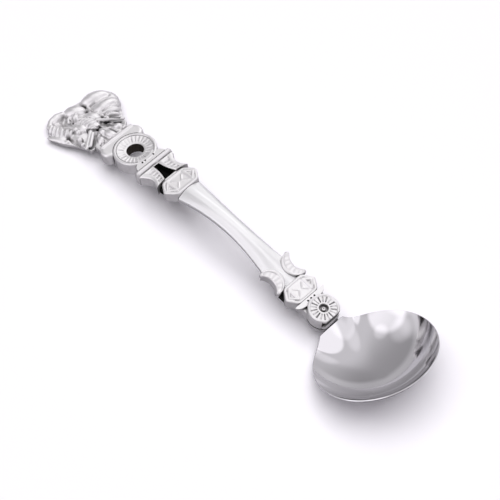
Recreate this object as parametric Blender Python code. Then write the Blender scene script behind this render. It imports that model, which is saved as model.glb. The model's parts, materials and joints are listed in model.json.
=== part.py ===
"""Sugar spoon: a round raised bowl on an arched handle of soldered silver castings.

Each run of the handle has its own frame: x along the handle toward the bowl, y to the left,
z up from the shoulder line, where the crown of the stem meets its side walls.
The finished spoon lies on its bowl and on the heel of its finial, on the plane z = 0.
"""

import math

import bmesh
import bpy
from mathutils import Matrix, Vector

# Clearances
SEAM = 0.0002
PIN_CLEARANCE = 0.0001

# Handle line: the ring half climbs, the stem arches over and the rosette half falls
REAR_PITCH = math.radians(10.0)
STEM_END_PITCH = math.radians(-16.5)
FRONT_PITCH = math.radians(-6.0)
STEM_ARC_RADIUS = 0.0520
STEM_STRAIGHT = 0.0104

# Levels above and below the shoulder line
REAR_TOP = 0.0010
REAR_BACK = -0.0018
FRONT_TOP = 0.0012
FRONT_BACK = -0.0018

# Stem
STEM_WAIST_HALF = 0.00225
STEM_REAR_HALF = 0.0035
STEM_FRONT_HALF = 0.0034
STEM_WAIST_AT = 0.0155
STEM_CROWN = 0.0006
STEM_REAR_DEPTH = 0.0021
STEM_FRONT_DEPTH = 0.0018
STEM_STEPS = 22
CROWN_STEPS = 8

# Collars
UPPER_COLLAR_LENGTH = 0.0060
UPPER_COLLAR_FLAT_HALF = 0.0030
UPPER_COLLAR_SPAN_HALF = 0.0054
LOWER_COLLAR_LENGTH = 0.0053
LOWER_COLLAR_FLAT_HALF = 0.0029
LOWER_COLLAR_SPAN_HALF = 0.0049
COLLAR_CHAMFER = 0.0003
COLLAR_BORDER = 0.0005
COLLAR_PANEL_DEPTH = 0.00025
COLLAR_POINT_HEIGHT = 0.0003

# Brackets between the upper collar and the cross roll
BRACKET_LENGTH = 0.0047
BRACKET_ROLL_INNER = 0.0008
BRACKET_COLLAR_INNER = 0.0018
BRACKET_ROLL_OUTER = 0.0053
BRACKET_COLLAR_OUTER = 0.0048
BRACKET_WAIST = 0.0011
SLOT_FLOOR = 0.0006

# Crescents in the bites of the stem
CRESCENT_RADIUS = 0.0032
CRESCENT_HOLLOW_RADIUS = 0.0033
CRESCENT_WIDTH = 0.0028
CRESCENT_FROM_AXIS = 0.0006
CRESCENT_BEFORE_COLLAR = 0.0030
CRESCENT_TIP_SHARE = 0.88
CRESCENT_TOP = 0.0010

# Fluted bands of brackets and crescents
BAND_STEPS = 16
BAND_RIM = 0.00045
BAND_FIELD_DEPTH = 0.0003
BAND_FLUTE_DEPTH = 0.0002

# Cross roll
ROLL_WIDTH = 0.00135
ROLL_HALF_LENGTH = 0.0055
ROLL_TOP = 0.0014
ROLL_ROUNDING = 0.0005

# Ring, dished toward its eye
RING_TOP = 0.0016
RING_EYE_TOP = 0.0009
RING_RADIUS = 0.0054
RING_EYE_RADIUS = 0.00215
RING_RIM = 0.0006
RING_FIELD_DEPTH = 0.0003
RING_FLUTES = 24
RING_FLUTE_DEPTH = 0.00025
RING_LUG_LENGTH = 0.0058
RING_LUG_HALF = 0.0038
RING_LUG_TOP = 0.0010

# Saddle
SADDLE_BACK = 0.0070
SADDLE_FRONT = 0.0027
SADDLE_HALF_LENGTH = 0.0063
SADDLE_TOP = 0.0014
SADDLE_ROUNDING = 0.0008

# Rosette
ROSETTE_RADIUS = 0.00375
ROSETTE_LUG_LENGTH = 0.0045
ROSETTE_LUG_HALF = 0.0046
ROSETTE_TOP = 0.0021
ROSETTE_LUG_TOP = 0.0014
ROSETTE_RIM = 0.00065
ROSETTE_FIELD_DEPTH = 0.0003
ROSETTE_RAYS = 16
ROSETTE_RAY_DEPTH = 0.00025
ROSETTE_DIMPLE_RADIUS = 0.0011
ROSETTE_DIMPLE_DEPTH = 0.0010
ROSETTE_BACK = -0.0026
ROSETTE_GROOVE_TOP = -0.0013
ROSETTE_GROOVE_WIDTH = 0.0004
ROSETTE_GROOVE_DEPTH = 0.0004
ROSETTE_FRONT = 0.0030
ROSETTE_RECESS_DEPTH = 0.0005
ROSETTE_RECESS_TOP = 0.0017
ROSETTE_RECESS_BOTTOM = 0.0003

# Flare of the lugs
LUG_WAIST_ANGLE = math.radians(35.0)
LUG_STEPS = 4

# Dots drilled in the rosette's lug
DOT_RADIUS = 0.00022
DOT_DEPTH = 0.0004
DOT_SPACING = 0.0011
DOT_COUNT = 3
DOT_FROM_LUG_END = 0.0005

# Pin of the rosette
PIN_RADIUS = 0.0005
PIN_HEAD = 0.0005
PIN_ROUNDING = 0.0003

# Bowl
BOWL_RADIUS = 0.01485
BOWL_DEPTH = 0.0070
BOWL_WALL = 0.0008
BOWL_TILT = math.radians(24.0)
BOWL_REACH = 0.0035
BOWL_DROP = 0.00545
APRON_RISE = 0.0052
APRON_RISE_SPREAD = 0.0044
APRON_REACH = 0.0025
APRON_REACH_SPREAD = 0.0032
APRON_BLEND = 4
BOWL_SIDES = 60
BOWL_RINGS = 8

# Finial: levels and casting thickness
FINIAL_BACK = -0.0015
FINIAL_PLATE_TOP = -0.0002
FINIAL_RELIEF_FLOOR = -0.0008
HEEL_AT = 0.0240
HEEL_ANGLE = math.radians(14.0)
OUTLINE_STEPS = 4
SHELL_SIDES = 12
SHELL_RINGS = 8

# Outline of the bird, measured from the centre of the ring
EAGLE_OUTLINE = (
    (-0.0096, 0.0050),
    (-0.0115, 0.0063),
    (-0.0144, 0.0081),
    (-0.0170, 0.0098),
    (-0.0198, 0.0100),
    (-0.0230, 0.0094),
    (-0.0246, 0.0070),
    (-0.0243, 0.0040),
    (-0.0248, 0.0012),
    (-0.0249, -0.0014),
    (-0.0255, -0.0034),
    (-0.0247, -0.0062),
    (-0.0226, -0.0088),
    (-0.0196, -0.0096),
    (-0.0166, -0.0088),
    (-0.0140, -0.0074),
    (-0.0108, -0.0062),
    (-0.0094, -0.0052),
)

# Relief of the bird: x, y, half length, half width, height over the floor, heading in degrees
EAGLE_LEFT_WING = (
    (-0.0213, 0.0062, 0.0035, 0.0020, 0.0024, 66.0),
    (-0.0174, 0.0061, 0.0035, 0.0018, 0.0025, 79.0),
    (-0.0153, 0.0056, 0.0027, 0.0009, 0.0022, 72.0),
    (-0.0140, 0.0052, 0.0022, 0.0008, 0.0020, 66.0),
)
EAGLE_RIGHT_WING = (
    (-0.0241, -0.0052, 0.0032, 0.0009, 0.0017, 98.0),
    (-0.0213, -0.0084, 0.0016, 0.0006, 0.0017, -56.0),
    (-0.0201, -0.0080, 0.0019, 0.0006, 0.0018, -55.0),
    (-0.0190, -0.0073, 0.0018, 0.0006, 0.0018, -52.0),
    (-0.0181, -0.0065, 0.0016, 0.0006, 0.0018, -52.0),
    (-0.0172, -0.0057, 0.0014, 0.0006, 0.0018, -60.0),
)
EAGLE_BODY = (
    (-0.0220, -0.0004, 0.0031, 0.0019, 0.0026, 47.0),
    (-0.0197, -0.0022, 0.0015, 0.0012, 0.0028, 30.0),
    (-0.0203, -0.0036, 0.0010, 0.0005, 0.0021, -35.0),
    (-0.0160, -0.0008, 0.0033, 0.0017, 0.0026, 22.0),
    (-0.0159, -0.0045, 0.0010, 0.0008, 0.0018, 0.0),
)
EAGLE_LEGS = (
    (-0.0128, 0.0032, 0.0034, 0.0005, 0.0019, 47.0),
    (-0.0119, -0.0047, 0.0026, 0.0005, 0.0016, -54.0),
)
PERCH_PADS = (
    (-0.0095, 0.0002, 0.0021, 0.0011, 0.0017, 15.0),
    (-0.0096, -0.0026, 0.0011, 0.0009, 0.0017, -30.0),
    (-0.0079, -0.0029, 0.0009, 0.0011, 0.0018, 20.0),
    (-0.0099, 0.0033, 0.0012, 0.0009, 0.0017, 40.0),
)
PERCH_APEX = 0.0134
PERCH_SHOULDER = 0.0094
PERCH_HALF_WIDTH = 0.0048
PERCH_TOP = -0.0002

# Solder-seam stations along the rear run, counted back from the stem
UPPER_COLLAR_FRONT = -SEAM
UPPER_COLLAR_REAR = UPPER_COLLAR_FRONT - UPPER_COLLAR_LENGTH
BRACKET_FRONT = UPPER_COLLAR_REAR - SEAM
BRACKET_REAR = BRACKET_FRONT - BRACKET_LENGTH
ROLL_FRONT = BRACKET_REAR - SEAM
ROLL_REAR = ROLL_FRONT - ROLL_WIDTH
RING_LUG_END = ROLL_REAR - SEAM
RING_AT = RING_LUG_END - RING_LUG_LENGTH

# Stations along the front run, counted forward from the stem
LOWER_COLLAR_REAR = SEAM
LOWER_COLLAR_FRONT = LOWER_COLLAR_REAR + LOWER_COLLAR_LENGTH
ROSETTE_LUG_END = LOWER_COLLAR_FRONT + SEAM
ROSETTE_AT = ROSETTE_LUG_END + ROSETTE_LUG_LENGTH

# Finish of the silver
SILVER = (0.78, 0.78, 0.80, 1.0)
POLISHED_ROUGHNESS = 0.08
CAST_ROUGHNESS = 0.25


def clear_scene():
    for old in list(bpy.data.objects):
        bpy.data.objects.remove(old, do_unlink=True)


def silver(name, roughness):
    """Silver with the given polish."""
    material = bpy.data.materials.new(name)
    material.use_nodes = True
    shader = material.node_tree.nodes["Principled BSDF"]
    shader.inputs["Base Color"].default_value = SILVER
    shader.inputs["Metallic"].default_value = 1.0
    shader.inputs["Roughness"].default_value = roughness
    return material


def frame(name, parent=None, location=(0.0, 0.0, 0.0), pitch=0.0):
    """An empty whose x axis climbs at the given pitch."""
    empty = bpy.data.objects.new(name, None)
    bpy.context.scene.collection.objects.link(empty)
    empty.parent = parent
    empty.location = location
    empty.rotation_euler = (0.0, -pitch, 0.0)
    return empty


def piece(name, bm, parent, material, smooth_angle=35.0):
    """Puts a finished bmesh into the scene as one named piece."""
    bmesh.ops.recalc_face_normals(bm, faces=bm.faces[:])
    mesh = bpy.data.meshes.new(name)
    bm.to_mesh(mesh)
    bm.free()
    mesh.materials.append(material)
    mesh.shade_smooth()
    mesh.set_sharp_from_angle(angle=math.radians(smooth_angle))
    made = bpy.data.objects.new(name, mesh)
    bpy.context.scene.collection.objects.link(made)
    made.parent = parent
    return made


def boolean(target, bm, operation, parent, name):
    """Cuts, adds or intersects a helper shape that only this Boolean reads."""
    other = piece(name, bm, parent, target.active_material)
    other.hide_render = True
    other.display_type = "WIRE"
    modifier = target.modifiers.new(name, "BOOLEAN")
    modifier.operation = operation
    modifier.object = other
    return modifier


def cylinder(centre, radius, height, segments):
    bm = bmesh.new()
    bmesh.ops.create_cone(
        bm,
        cap_ends=True,
        segments=segments,
        radius1=radius,
        radius2=radius,
        depth=height,
        matrix=Matrix.Translation(centre),
    )
    return bm


def block(low, high):
    """Box between two corners."""
    low = Vector(low)
    high = Vector(high)
    size = Matrix.Diagonal((*(high - low), 1.0))
    bm = bmesh.new()
    bmesh.ops.create_cube(bm, size=1.0, matrix=Matrix.Translation((low + high) / 2) @ size)
    return bm


def arc(centre, radius, start, end, steps):
    """Points of an arc in the xy plane, both ends included."""
    points = []
    for step in range(steps + 1):
        angle = start + (end - start) * step / steps
        points.append((centre[0] + radius * math.cos(angle), centre[1] + radius * math.sin(angle)))
    return points


def smooth_outline(points, steps):
    """Closed curve through the points, each stretch cut into steps."""
    curve = []
    count = len(points)
    for index in range(count):
        before, start, end, after = (Vector(points[(index + shift) % count]) for shift in (-1, 0, 1, 2))
        for step in range(steps):
            t = step / steps
            bend = start * 2 + (end - before) * t
            bend += (before * 2 - start * 5 + end * 4 - after) * t**2
            bend += (start * 3 - before - end * 3 + after) * t**3
            curve.append(bend / 2)
    return curve


def add_prism(bm, outline, bottom, top):
    """Extrudes an outline and returns the top face."""
    base = bm.faces.new([bm.verts.new((x, y, bottom)) for x, y in outline])
    grown = bmesh.ops.extrude_face_region(bm, geom=[base])["geom"]
    raised = [item for item in grown if isinstance(item, bmesh.types.BMVert)]
    bmesh.ops.translate(bm, verts=raised, vec=(0.0, 0.0, top - bottom))
    return next(item for item in grown if isinstance(item, bmesh.types.BMFace))


def prism(outline, bottom, top):
    bm = bmesh.new()
    add_prism(bm, outline, bottom, top)
    return bm


def round_edges(bm, edges, offset, segments):
    bmesh.ops.bevel(
        bm, geom=edges, offset=offset, segments=segments, profile=0.5, affect="EDGES", material=-1
    )


def skin(bm, sections):
    """Joins closed sections with the same number of points and caps both ends."""
    rings = [[bm.verts.new(point) for point in section] for section in sections]
    for first, second in zip(rings, rings[1:]):
        for index in range(len(first)):
            after = (index + 1) % len(first)
            bm.faces.new((first[index], first[after], second[after], second[index]))
    bm.faces.new(rings[0])
    bm.faces.new(rings[-1])


def turned(profile, steps, centre_x):
    """Spins a closed profile of radius and height about a vertical axis."""
    bm = bmesh.new()
    verts = [bm.verts.new((radius, 0.0, height)) for radius, height in profile]
    edges = []
    for index, vert in enumerate(verts):
        edges.append(bm.edges.new((vert, verts[(index + 1) % len(verts)])))
    bmesh.ops.spin(
        bm,
        geom=verts + edges,
        cent=(0.0, 0.0, 0.0),
        axis=(0.0, 0.0, 1.0),
        angle=math.tau,
        steps=steps,
        use_merge=True,
    )
    bmesh.ops.translate(bm, verts=bm.verts[:], vec=(centre_x, 0.0, 0.0))
    return bm


def sink_flutes(bm, rows, steps, centre_x, depth):
    """Radial flutes: on odd spokes, the points of the given profile rows go down."""
    slack = SEAM / 10
    for vert in bm.verts:
        radius = math.hypot(vert.co.x - centre_x, vert.co.y)
        spoke = round(math.atan2(vert.co.y, vert.co.x - centre_x) / math.tau * steps)
        on_row = any(abs(radius - r) < slack and abs(vert.co.z - h) < slack for r, h in rows)
        if on_row and spoke % 2:
            vert.co.z -= depth


def stem_length():
    return STEM_ARC_RADIUS * (REAR_PITCH - STEM_END_PITCH) + STEM_STRAIGHT


def stem_line(distance):
    """Place and pitch of the shoulder line at a distance from the stem's rear end."""
    bent = min(distance, STEM_ARC_RADIUS * (REAR_PITCH - STEM_END_PITCH))
    pitch = REAR_PITCH - bent / STEM_ARC_RADIUS
    x = STEM_ARC_RADIUS * (math.sin(REAR_PITCH) - math.sin(pitch))
    z = STEM_ARC_RADIUS * (math.cos(pitch) - math.cos(REAR_PITCH))
    straight = distance - bent
    return x + straight * math.cos(pitch), z + straight * math.sin(pitch), pitch


def stem_half_width(distance):
    """Half width of the stem, waisted between its two ends."""
    if distance < STEM_WAIST_AT:
        share = 1 - distance / STEM_WAIST_AT
        return STEM_WAIST_HALF + (STEM_REAR_HALF - STEM_WAIST_HALF) * share**2
    share = (distance - STEM_WAIST_AT) / (stem_length() - STEM_STRAIGHT / 2 - STEM_WAIST_AT)
    return STEM_WAIST_HALF + (STEM_FRONT_HALF - STEM_WAIST_HALF) * min(share, 1) ** 2


def make_stem(root, stem_end, material):
    """Crowned stem, lofted along the shoulder line, with a round bite for each crescent."""
    sections = []
    for step in range(STEM_STEPS + 1):
        share = step / STEM_STEPS
        x, z, pitch = stem_line(share * stem_length())
        if step == STEM_STEPS:
            pitch = FRONT_PITCH
        half = stem_half_width(share * stem_length())
        depth = STEM_REAR_DEPTH + (STEM_FRONT_DEPTH - STEM_REAR_DEPTH) * share
        across = [(-half, -depth), (half, -depth)]
        for turn in range(CROWN_STEPS + 1):
            angle = math.pi * turn / CROWN_STEPS
            across.append((half * math.cos(angle), STEM_CROWN * math.sin(angle)))
        up = Vector((-math.sin(pitch), 0.0, math.cos(pitch)))
        sections.append([Vector((x, y, z)) + w * up for y, w in across])
    bm = bmesh.new()
    skin(bm, sections)
    stem = piece("stem", bm, root, material)
    for name, side in (("left", 1), ("right", -1)):
        bite = cylinder(crescent_centre(side), CRESCENT_RADIUS + SEAM, 4 * STEM_REAR_DEPTH, 32)
        boolean(stem, bite, "DIFFERENCE", stem_end, "stem_bite_" + name)


def hexagon(rear, front, flat_half, span_half):
    middle = (rear + front) / 2
    return [
        (rear, -flat_half),
        (middle, -span_half),
        (front, -flat_half),
        (front, flat_half),
        (middle, span_half),
        (rear, flat_half),
    ]


def make_collar(name, parent, outline, bottom, top, material):
    """Hexagonal collar: a raised border round a panel of three faceted points."""
    bm = bmesh.new()
    lid = add_prism(bm, outline, bottom, top)
    round_edges(bm, lid.edges[:], COLLAR_CHAMFER, 1)
    lid = max(bm.faces, key=lambda face: face.calc_center_median().z)
    bmesh.ops.inset_region(bm, faces=[lid], thickness=COLLAR_BORDER, depth=0.0)
    bmesh.ops.inset_region(bm, faces=[lid], thickness=COLLAR_PANEL_DEPTH, depth=-COLLAR_PANEL_DEPTH)
    corners = sorted(lid.verts, key=lambda vert: vert.co.y)
    for pair in (corners[1:3], corners[3:5]):
        bmesh.ops.connect_verts(bm, verts=pair)
    panel = {face for face in bm.faces if all(vert in corners for vert in face.verts)}
    bmesh.ops.poke(bm, faces=list(panel), offset=COLLAR_POINT_HEIGHT)
    piece(name, bm, parent, material, smooth_angle=20.0)


def fluted_band(rim_edge, far_edge, bottom, top):
    """Plate between two edges with a raised rim on the first one and flutes across it."""
    sections = []
    for step in range(BAND_STEPS + 1):
        near = Vector(rim_edge(step / BAND_STEPS))
        far = Vector(far_edge(step / BAND_STEPS))
        rim_share = min(BAND_RIM / (far - near).length, 0.4)
        rim = near.lerp(far, rim_share)
        hem = far.lerp(near, rim_share / 2)
        field = top - BAND_FIELD_DEPTH - (BAND_FLUTE_DEPTH if step % 2 else 0.0)
        plan = (near, near, rim, rim, hem, far, far)
        heights = (bottom, top, top, field, field, top - BAND_FIELD_DEPTH, bottom)
        sections.append([(point.x, point.y, height) for point, height in zip(plan, heights)])
    bm = bmesh.new()
    skin(bm, sections)
    return bm


def crescent_centre(side):
    """Centre of a crescent's convex edge, in the frame of the stem's end."""
    return Vector((-CRESCENT_BEFORE_COLLAR, side * (CRESCENT_FROM_AXIS + CRESCENT_RADIUS), 0.0))


def make_crescent(name, side, stem_end, material):
    """Crescent with its convex, rimmed edge in the bite of the stem."""
    centre = crescent_centre(side)
    apart = CRESCENT_WIDTH - CRESCENT_RADIUS + CRESCENT_HOLLOW_RADIUS
    along = (CRESCENT_RADIUS**2 - CRESCENT_HOLLOW_RADIUS**2 + apart**2) / (2 * apart)
    reach = math.acos(-along / CRESCENT_RADIUS) * CRESCENT_TIP_SHARE
    half_chord = math.sqrt(CRESCENT_RADIUS**2 - along**2)
    hollow_reach = math.asin(half_chord / CRESCENT_HOLLOW_RADIUS) * CRESCENT_TIP_SHARE

    def convex(share):
        angle = reach * (2 * share - 1)
        x = CRESCENT_RADIUS * math.sin(angle)
        y = -side * CRESCENT_RADIUS * math.cos(angle)
        return centre + Vector((x, y, 0.0))

    def hollow(share):
        angle = hollow_reach * (2 * share - 1)
        x = CRESCENT_HOLLOW_RADIUS * math.sin(angle)
        y = side * (apart - CRESCENT_HOLLOW_RADIUS * math.cos(angle))
        return centre + Vector((x, y, 0.0))

    piece(name, fluted_band(convex, hollow, -STEM_FRONT_DEPTH, CRESCENT_TOP), stem_end, material)


def make_bracket(name, side, rear_run, material):
    """Fluted bracket, hollow on its outer edge, with its half of the slot's floor."""

    def inner(share):
        y = BRACKET_ROLL_INNER + (BRACKET_COLLAR_INNER - BRACKET_ROLL_INNER) * share**2
        return (BRACKET_REAR + BRACKET_LENGTH * share, side * y, 0.0)

    def outer(share):
        y = BRACKET_ROLL_OUTER + (BRACKET_COLLAR_OUTER - BRACKET_ROLL_OUTER) * share
        y -= BRACKET_WAIST * math.sin(math.pi * share)
        return (BRACKET_REAR + BRACKET_LENGTH * share, side * y, 0.0)

    bracket = piece(name, fluted_band(inner, outer, REAR_BACK, REAR_TOP), rear_run, material)
    reach = sorted((side * SEAM / 2, side * (BRACKET_COLLAR_INNER + SEAM)))
    low = (BRACKET_REAR, reach[0], REAR_BACK)
    high = (BRACKET_FRONT, reach[1], REAR_BACK + SLOT_FLOOR)
    boolean(bracket, block(low, high), "UNION", rear_run, name + "_floor")


def make_cross_roll(rear_run, material):
    """Bar across the handle with a round top and round ends."""
    radius = ROLL_WIDTH / 2
    middle = (ROLL_FRONT + ROLL_REAR) / 2
    straight = ROLL_HALF_LENGTH - radius
    outline = arc((middle, straight), radius, 0.0, math.pi, 8)
    outline += arc((middle, -straight), radius, math.pi, math.tau, 8)
    bm = bmesh.new()
    lid = add_prism(bm, outline, REAR_BACK, ROLL_TOP)
    round_edges(bm, lid.edges[:], ROLL_ROUNDING, 3)
    piece("cross_roll", bm, rear_run, material)


def lug(centre_x, toward, radius, length, half, bottom, top):
    """Flared plate with hollow sides, from a round boss to the flat face it meets."""
    waist = radius * math.sin(LUG_WAIST_ANGLE)
    side = []
    for step in range(LUG_STEPS):
        angle = math.pi / 2 * step / LUG_STEPS
        x = centre_x + toward * (length - (length - radius) * math.sin(angle))
        side.append((x, half - (half - waist) * (1 - math.cos(angle))))
    inner = arc((0.0, 0.0), radius, LUG_WAIST_ANGLE, -LUG_WAIST_ANGLE, LUG_STEPS)
    inner = [(centre_x + toward * x, y) for x, y in inner]
    outline = side + inner + [(x, -y) for x, y in reversed(side)]
    return prism(outline, bottom, top)


def drill_dots(target, parent, at_x, top):
    """Row of blind dots across a lug."""
    dots = bmesh.new()
    for index in range(DOT_COUNT):
        y = (index - (DOT_COUNT - 1) / 2) * DOT_SPACING
        bmesh.ops.create_cone(
            dots,
            cap_ends=True,
            segments=8,
            radius1=DOT_RADIUS,
            radius2=DOT_RADIUS,
            depth=2 * DOT_DEPTH,
            matrix=Matrix.Translation((at_x, y, top)),
        )
    boolean(target, dots, "DIFFERENCE", parent, target.name + "_dots")


def make_ring(rear_run, material):
    """Fluted ring, dished toward an open eye, with a lug to the cross roll."""
    steps = 2 * RING_FLUTES
    field_outer = (RING_RADIUS - RING_RIM, RING_TOP - RING_FIELD_DEPTH)
    field_inner = (RING_EYE_RADIUS + RING_RIM, RING_EYE_TOP - RING_FIELD_DEPTH)
    profile = [
        (RING_EYE_RADIUS, REAR_BACK),
        (RING_RADIUS, REAR_BACK),
        (RING_RADIUS, RING_TOP),
        (RING_RADIUS - RING_RIM, RING_TOP),
        field_outer,
        field_inner,
        (RING_EYE_RADIUS + RING_RIM, RING_EYE_TOP),
        (RING_EYE_RADIUS, RING_EYE_TOP),
    ]
    bm = turned(profile, steps, RING_AT)
    sink_flutes(bm, (field_outer, field_inner), steps, RING_AT, RING_FLUTE_DEPTH)
    ring = piece("ring", bm, rear_run, material)
    overlap = RING_RADIUS - RING_RIM / 2
    plate = lug(RING_AT, 1.0, overlap, RING_LUG_LENGTH, RING_LUG_HALF, REAR_BACK, RING_LUG_TOP)
    boolean(ring, plate, "UNION", rear_run, "ring_lug")


def make_saddle(rear_run, material):
    """Round-ended bar behind the ring, hollowed to the ring's radius."""
    back = RING_AT - SADDLE_BACK
    corner = (SADDLE_BACK - SADDLE_FRONT) / 2
    straight = SADDLE_HALF_LENGTH - corner
    outline = arc((back + corner, straight), corner, math.pi, 0.0, 8)
    outline += arc((back + corner, -straight), corner, 0.0, -math.pi, 8)
    bm = bmesh.new()
    lid = add_prism(bm, outline, REAR_BACK, SADDLE_TOP)
    round_edges(bm, lid.edges[:], SADDLE_ROUNDING, 2)
    saddle = piece("saddle", bm, rear_run, material)
    hollow = cylinder((RING_AT, 0.0, 0.0), RING_RADIUS + SEAM, 4 * (SADDLE_TOP - REAR_BACK), 48)
    boolean(saddle, hollow, "DIFFERENCE", rear_run, "saddle_hollow")


def make_rosette(front_run, material):
    """Round boss with rays, a dimple, a grooved side, a flat front and a lug to the collar."""
    steps = 2 * ROSETTE_RAYS
    bore = PIN_RADIUS + PIN_CLEARANCE
    groove_radius = ROSETTE_RADIUS - ROSETTE_GROOVE_DEPTH
    groove_floor = ROSETTE_GROOVE_TOP - ROSETTE_GROOVE_WIDTH
    dimple = ROSETTE_TOP - ROSETTE_DIMPLE_DEPTH
    field = ROSETTE_TOP - ROSETTE_FIELD_DEPTH
    field_outer = (ROSETTE_RADIUS - ROSETTE_RIM, field)
    field_inner = (ROSETTE_DIMPLE_RADIUS, field)
    profile = [
        (bore, ROSETTE_BACK),
        (ROSETTE_RADIUS, ROSETTE_BACK),
        (ROSETTE_RADIUS, groove_floor),
        (groove_radius, groove_floor),
        (groove_radius, ROSETTE_GROOVE_TOP),
        (ROSETTE_RADIUS, ROSETTE_GROOVE_TOP),
        (ROSETTE_RADIUS, ROSETTE_TOP),
        (ROSETTE_RADIUS - ROSETTE_RIM, ROSETTE_TOP),
        field_outer,
        field_inner,
        ((ROSETTE_DIMPLE_RADIUS + bore) / 2, dimple),
        (bore, dimple),
    ]
    bm = turned(profile, steps, ROSETTE_AT)
    sink_flutes(bm, (field_outer, field_inner), steps, ROSETTE_AT, ROSETTE_RAY_DEPTH)
    rosette = piece("rosette", bm, front_run, material)
    plate = lug(
        ROSETTE_AT,
        -1.0,
        groove_radius - ROSETTE_GROOVE_DEPTH,
        ROSETTE_LUG_LENGTH,
        ROSETTE_LUG_HALF,
        FRONT_BACK,
        ROSETTE_LUG_TOP,
    )
    boolean(rosette, plate, "UNION", front_run, "rosette_lug")
    drill_dots(rosette, front_run, ROSETTE_LUG_END + DOT_FROM_LUG_END, ROSETTE_LUG_TOP)
    front = ROSETTE_AT + ROSETTE_FRONT
    ahead = block((front, -ROSETTE_RADIUS, 2 * ROSETTE_BACK), (2 * front, ROSETTE_RADIUS, 2 * ROSETTE_TOP))
    boolean(rosette, ahead, "DIFFERENCE", front_run, "rosette_front")
    recess = block(
        (front - ROSETTE_RECESS_DEPTH, -ROSETTE_RADIUS, ROSETTE_RECESS_BOTTOM),
        (2 * front, ROSETTE_RADIUS, ROSETTE_RECESS_TOP),
    )
    boolean(rosette, recess, "DIFFERENCE", front_run, "rosette_recess")

    top = dimple + PIN_HEAD
    pin = cylinder((ROSETTE_AT, 0.0, (top + ROSETTE_BACK) / 2), PIN_RADIUS, top - ROSETTE_BACK, 16)
    lid = max(pin.faces, key=lambda face: face.calc_center_median().z)
    round_edges(pin, lid.edges[:], PIN_ROUNDING, 2)
    piece("rosette_pin", pin, front_run, material)


def bowl_point(ring_share, angle):
    """Point of the bowl's inner face in the frame of its rim."""
    radius = BOWL_RADIUS * ring_share
    x = radius * math.cos(angle)
    y = radius * math.sin(angle)
    sphere = (BOWL_RADIUS**2 + BOWL_DEPTH**2) / (2 * BOWL_DEPTH)
    z = sphere - BOWL_DEPTH - math.sqrt(sphere**2 - radius**2)
    if math.cos(angle) < 0:
        rim_y = BOWL_RADIUS * math.sin(angle)
        blend = ring_share**APRON_BLEND
        rise = APRON_RISE * math.exp(-((rim_y / APRON_RISE_SPREAD) ** 2)) * blend
        reach = APRON_REACH * math.exp(-((rim_y / APRON_REACH_SPREAD) ** 2)) * blend
        x += rise * math.sin(BOWL_TILT) - reach * math.cos(BOWL_TILT)
        z += rise * math.cos(BOWL_TILT) + reach * math.sin(BOWL_TILT)
    return x, y, z


def make_bowl(root, front_run, material):
    """Sheet bowl: a round dish whose back edge climbs as an apron to the rosette."""
    bm = bmesh.new()
    centre = bm.verts.new(bowl_point(0.0, 0.0))
    rings = []
    for ring in range(1, BOWL_RINGS + 1):
        share = math.sin(math.pi / 2 * ring / BOWL_RINGS)
        angles = [math.tau * side / BOWL_SIDES for side in range(BOWL_SIDES)]
        rings.append([bm.verts.new(bowl_point(share, angle)) for angle in angles])
    for side in range(BOWL_SIDES):
        after = (side + 1) % BOWL_SIDES
        bm.faces.new((centre, rings[0][side], rings[0][after]))
        for inner, outer in zip(rings, rings[1:]):
            bm.faces.new((inner[side], outer[side], outer[after], inner[after]))
    bowl = piece("bowl", bm, root, material)
    back = front_run.matrix_world @ Vector((ROSETTE_AT + BOWL_REACH, 0.0, -BOWL_DROP))
    toward_tip = Vector((math.cos(BOWL_TILT), 0.0, math.sin(BOWL_TILT)))
    bowl.location = back + BOWL_RADIUS * toward_tip
    bowl.rotation_euler = (0.0, -BOWL_TILT, 0.0)
    sheet = bowl.modifiers.new("sheet", "SOLIDIFY")
    sheet.thickness = BOWL_WALL
    sheet.offset = -1.0
    sheet.use_even_offset = True
    front = ROSETTE_AT + ROSETTE_FRONT + SEAM
    seat = block((0.0, -BOWL_RADIUS, -2 * BOWL_DROP), (front, BOWL_RADIUS, 2 * BOWL_DROP))
    boolean(bowl, seat, "DIFFERENCE", front_run, "bowl_seat")
    return bowl


def add_shells(bm, shells):
    """Rounded masses of the relief, each half sunk in the relief's floor."""
    for x, y, half_length, half_width, height, heading in shells:
        place = Matrix.Translation((RING_AT + x, y, FINIAL_RELIEF_FLOOR))
        turn = Matrix.Rotation(math.radians(heading), 4, "Z")
        size = Matrix.Diagonal((half_length, half_width, height, 1.0))
        bmesh.ops.create_uvsphere(
            bm, u_segments=SHELL_SIDES, v_segments=SHELL_RINGS, radius=1.0, matrix=place @ turn @ size
        )


def perch_outline(gap):
    """Foot of the finial: a blunt point between the bird's legs, grown by a gap."""
    back = RING_AT - SADDLE_BACK - SEAM + gap
    shoulder = RING_AT - PERCH_SHOULDER
    apex = RING_AT - PERCH_APEX
    half = PERCH_HALF_WIDTH
    slope = math.atan2(half, shoulder - apex)
    along = gap / math.sin(slope)
    wide = half + gap
    start = apex - along
    corner = start + wide / math.tan(slope)
    return [(back, wide), (corner, wide), (start, 0.0), (corner, -wide), (back, -wide)]


def make_perch(rear_run, material):
    """Leafy foot of the finial, between the bird's legs."""
    perch = piece("perch", prism(perch_outline(0.0), FINIAL_BACK, PERCH_TOP), rear_run, material)
    pads = bmesh.new()
    add_shells(pads, PERCH_PADS)
    joined = boolean(perch, pads, "UNION", rear_run, "perch_pads")
    joined.use_self = True
    room = prism(perch_outline(0.0), FINIAL_BACK, -FINIAL_BACK)
    boolean(perch, room, "INTERSECT", rear_run, "perch_room")


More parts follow.
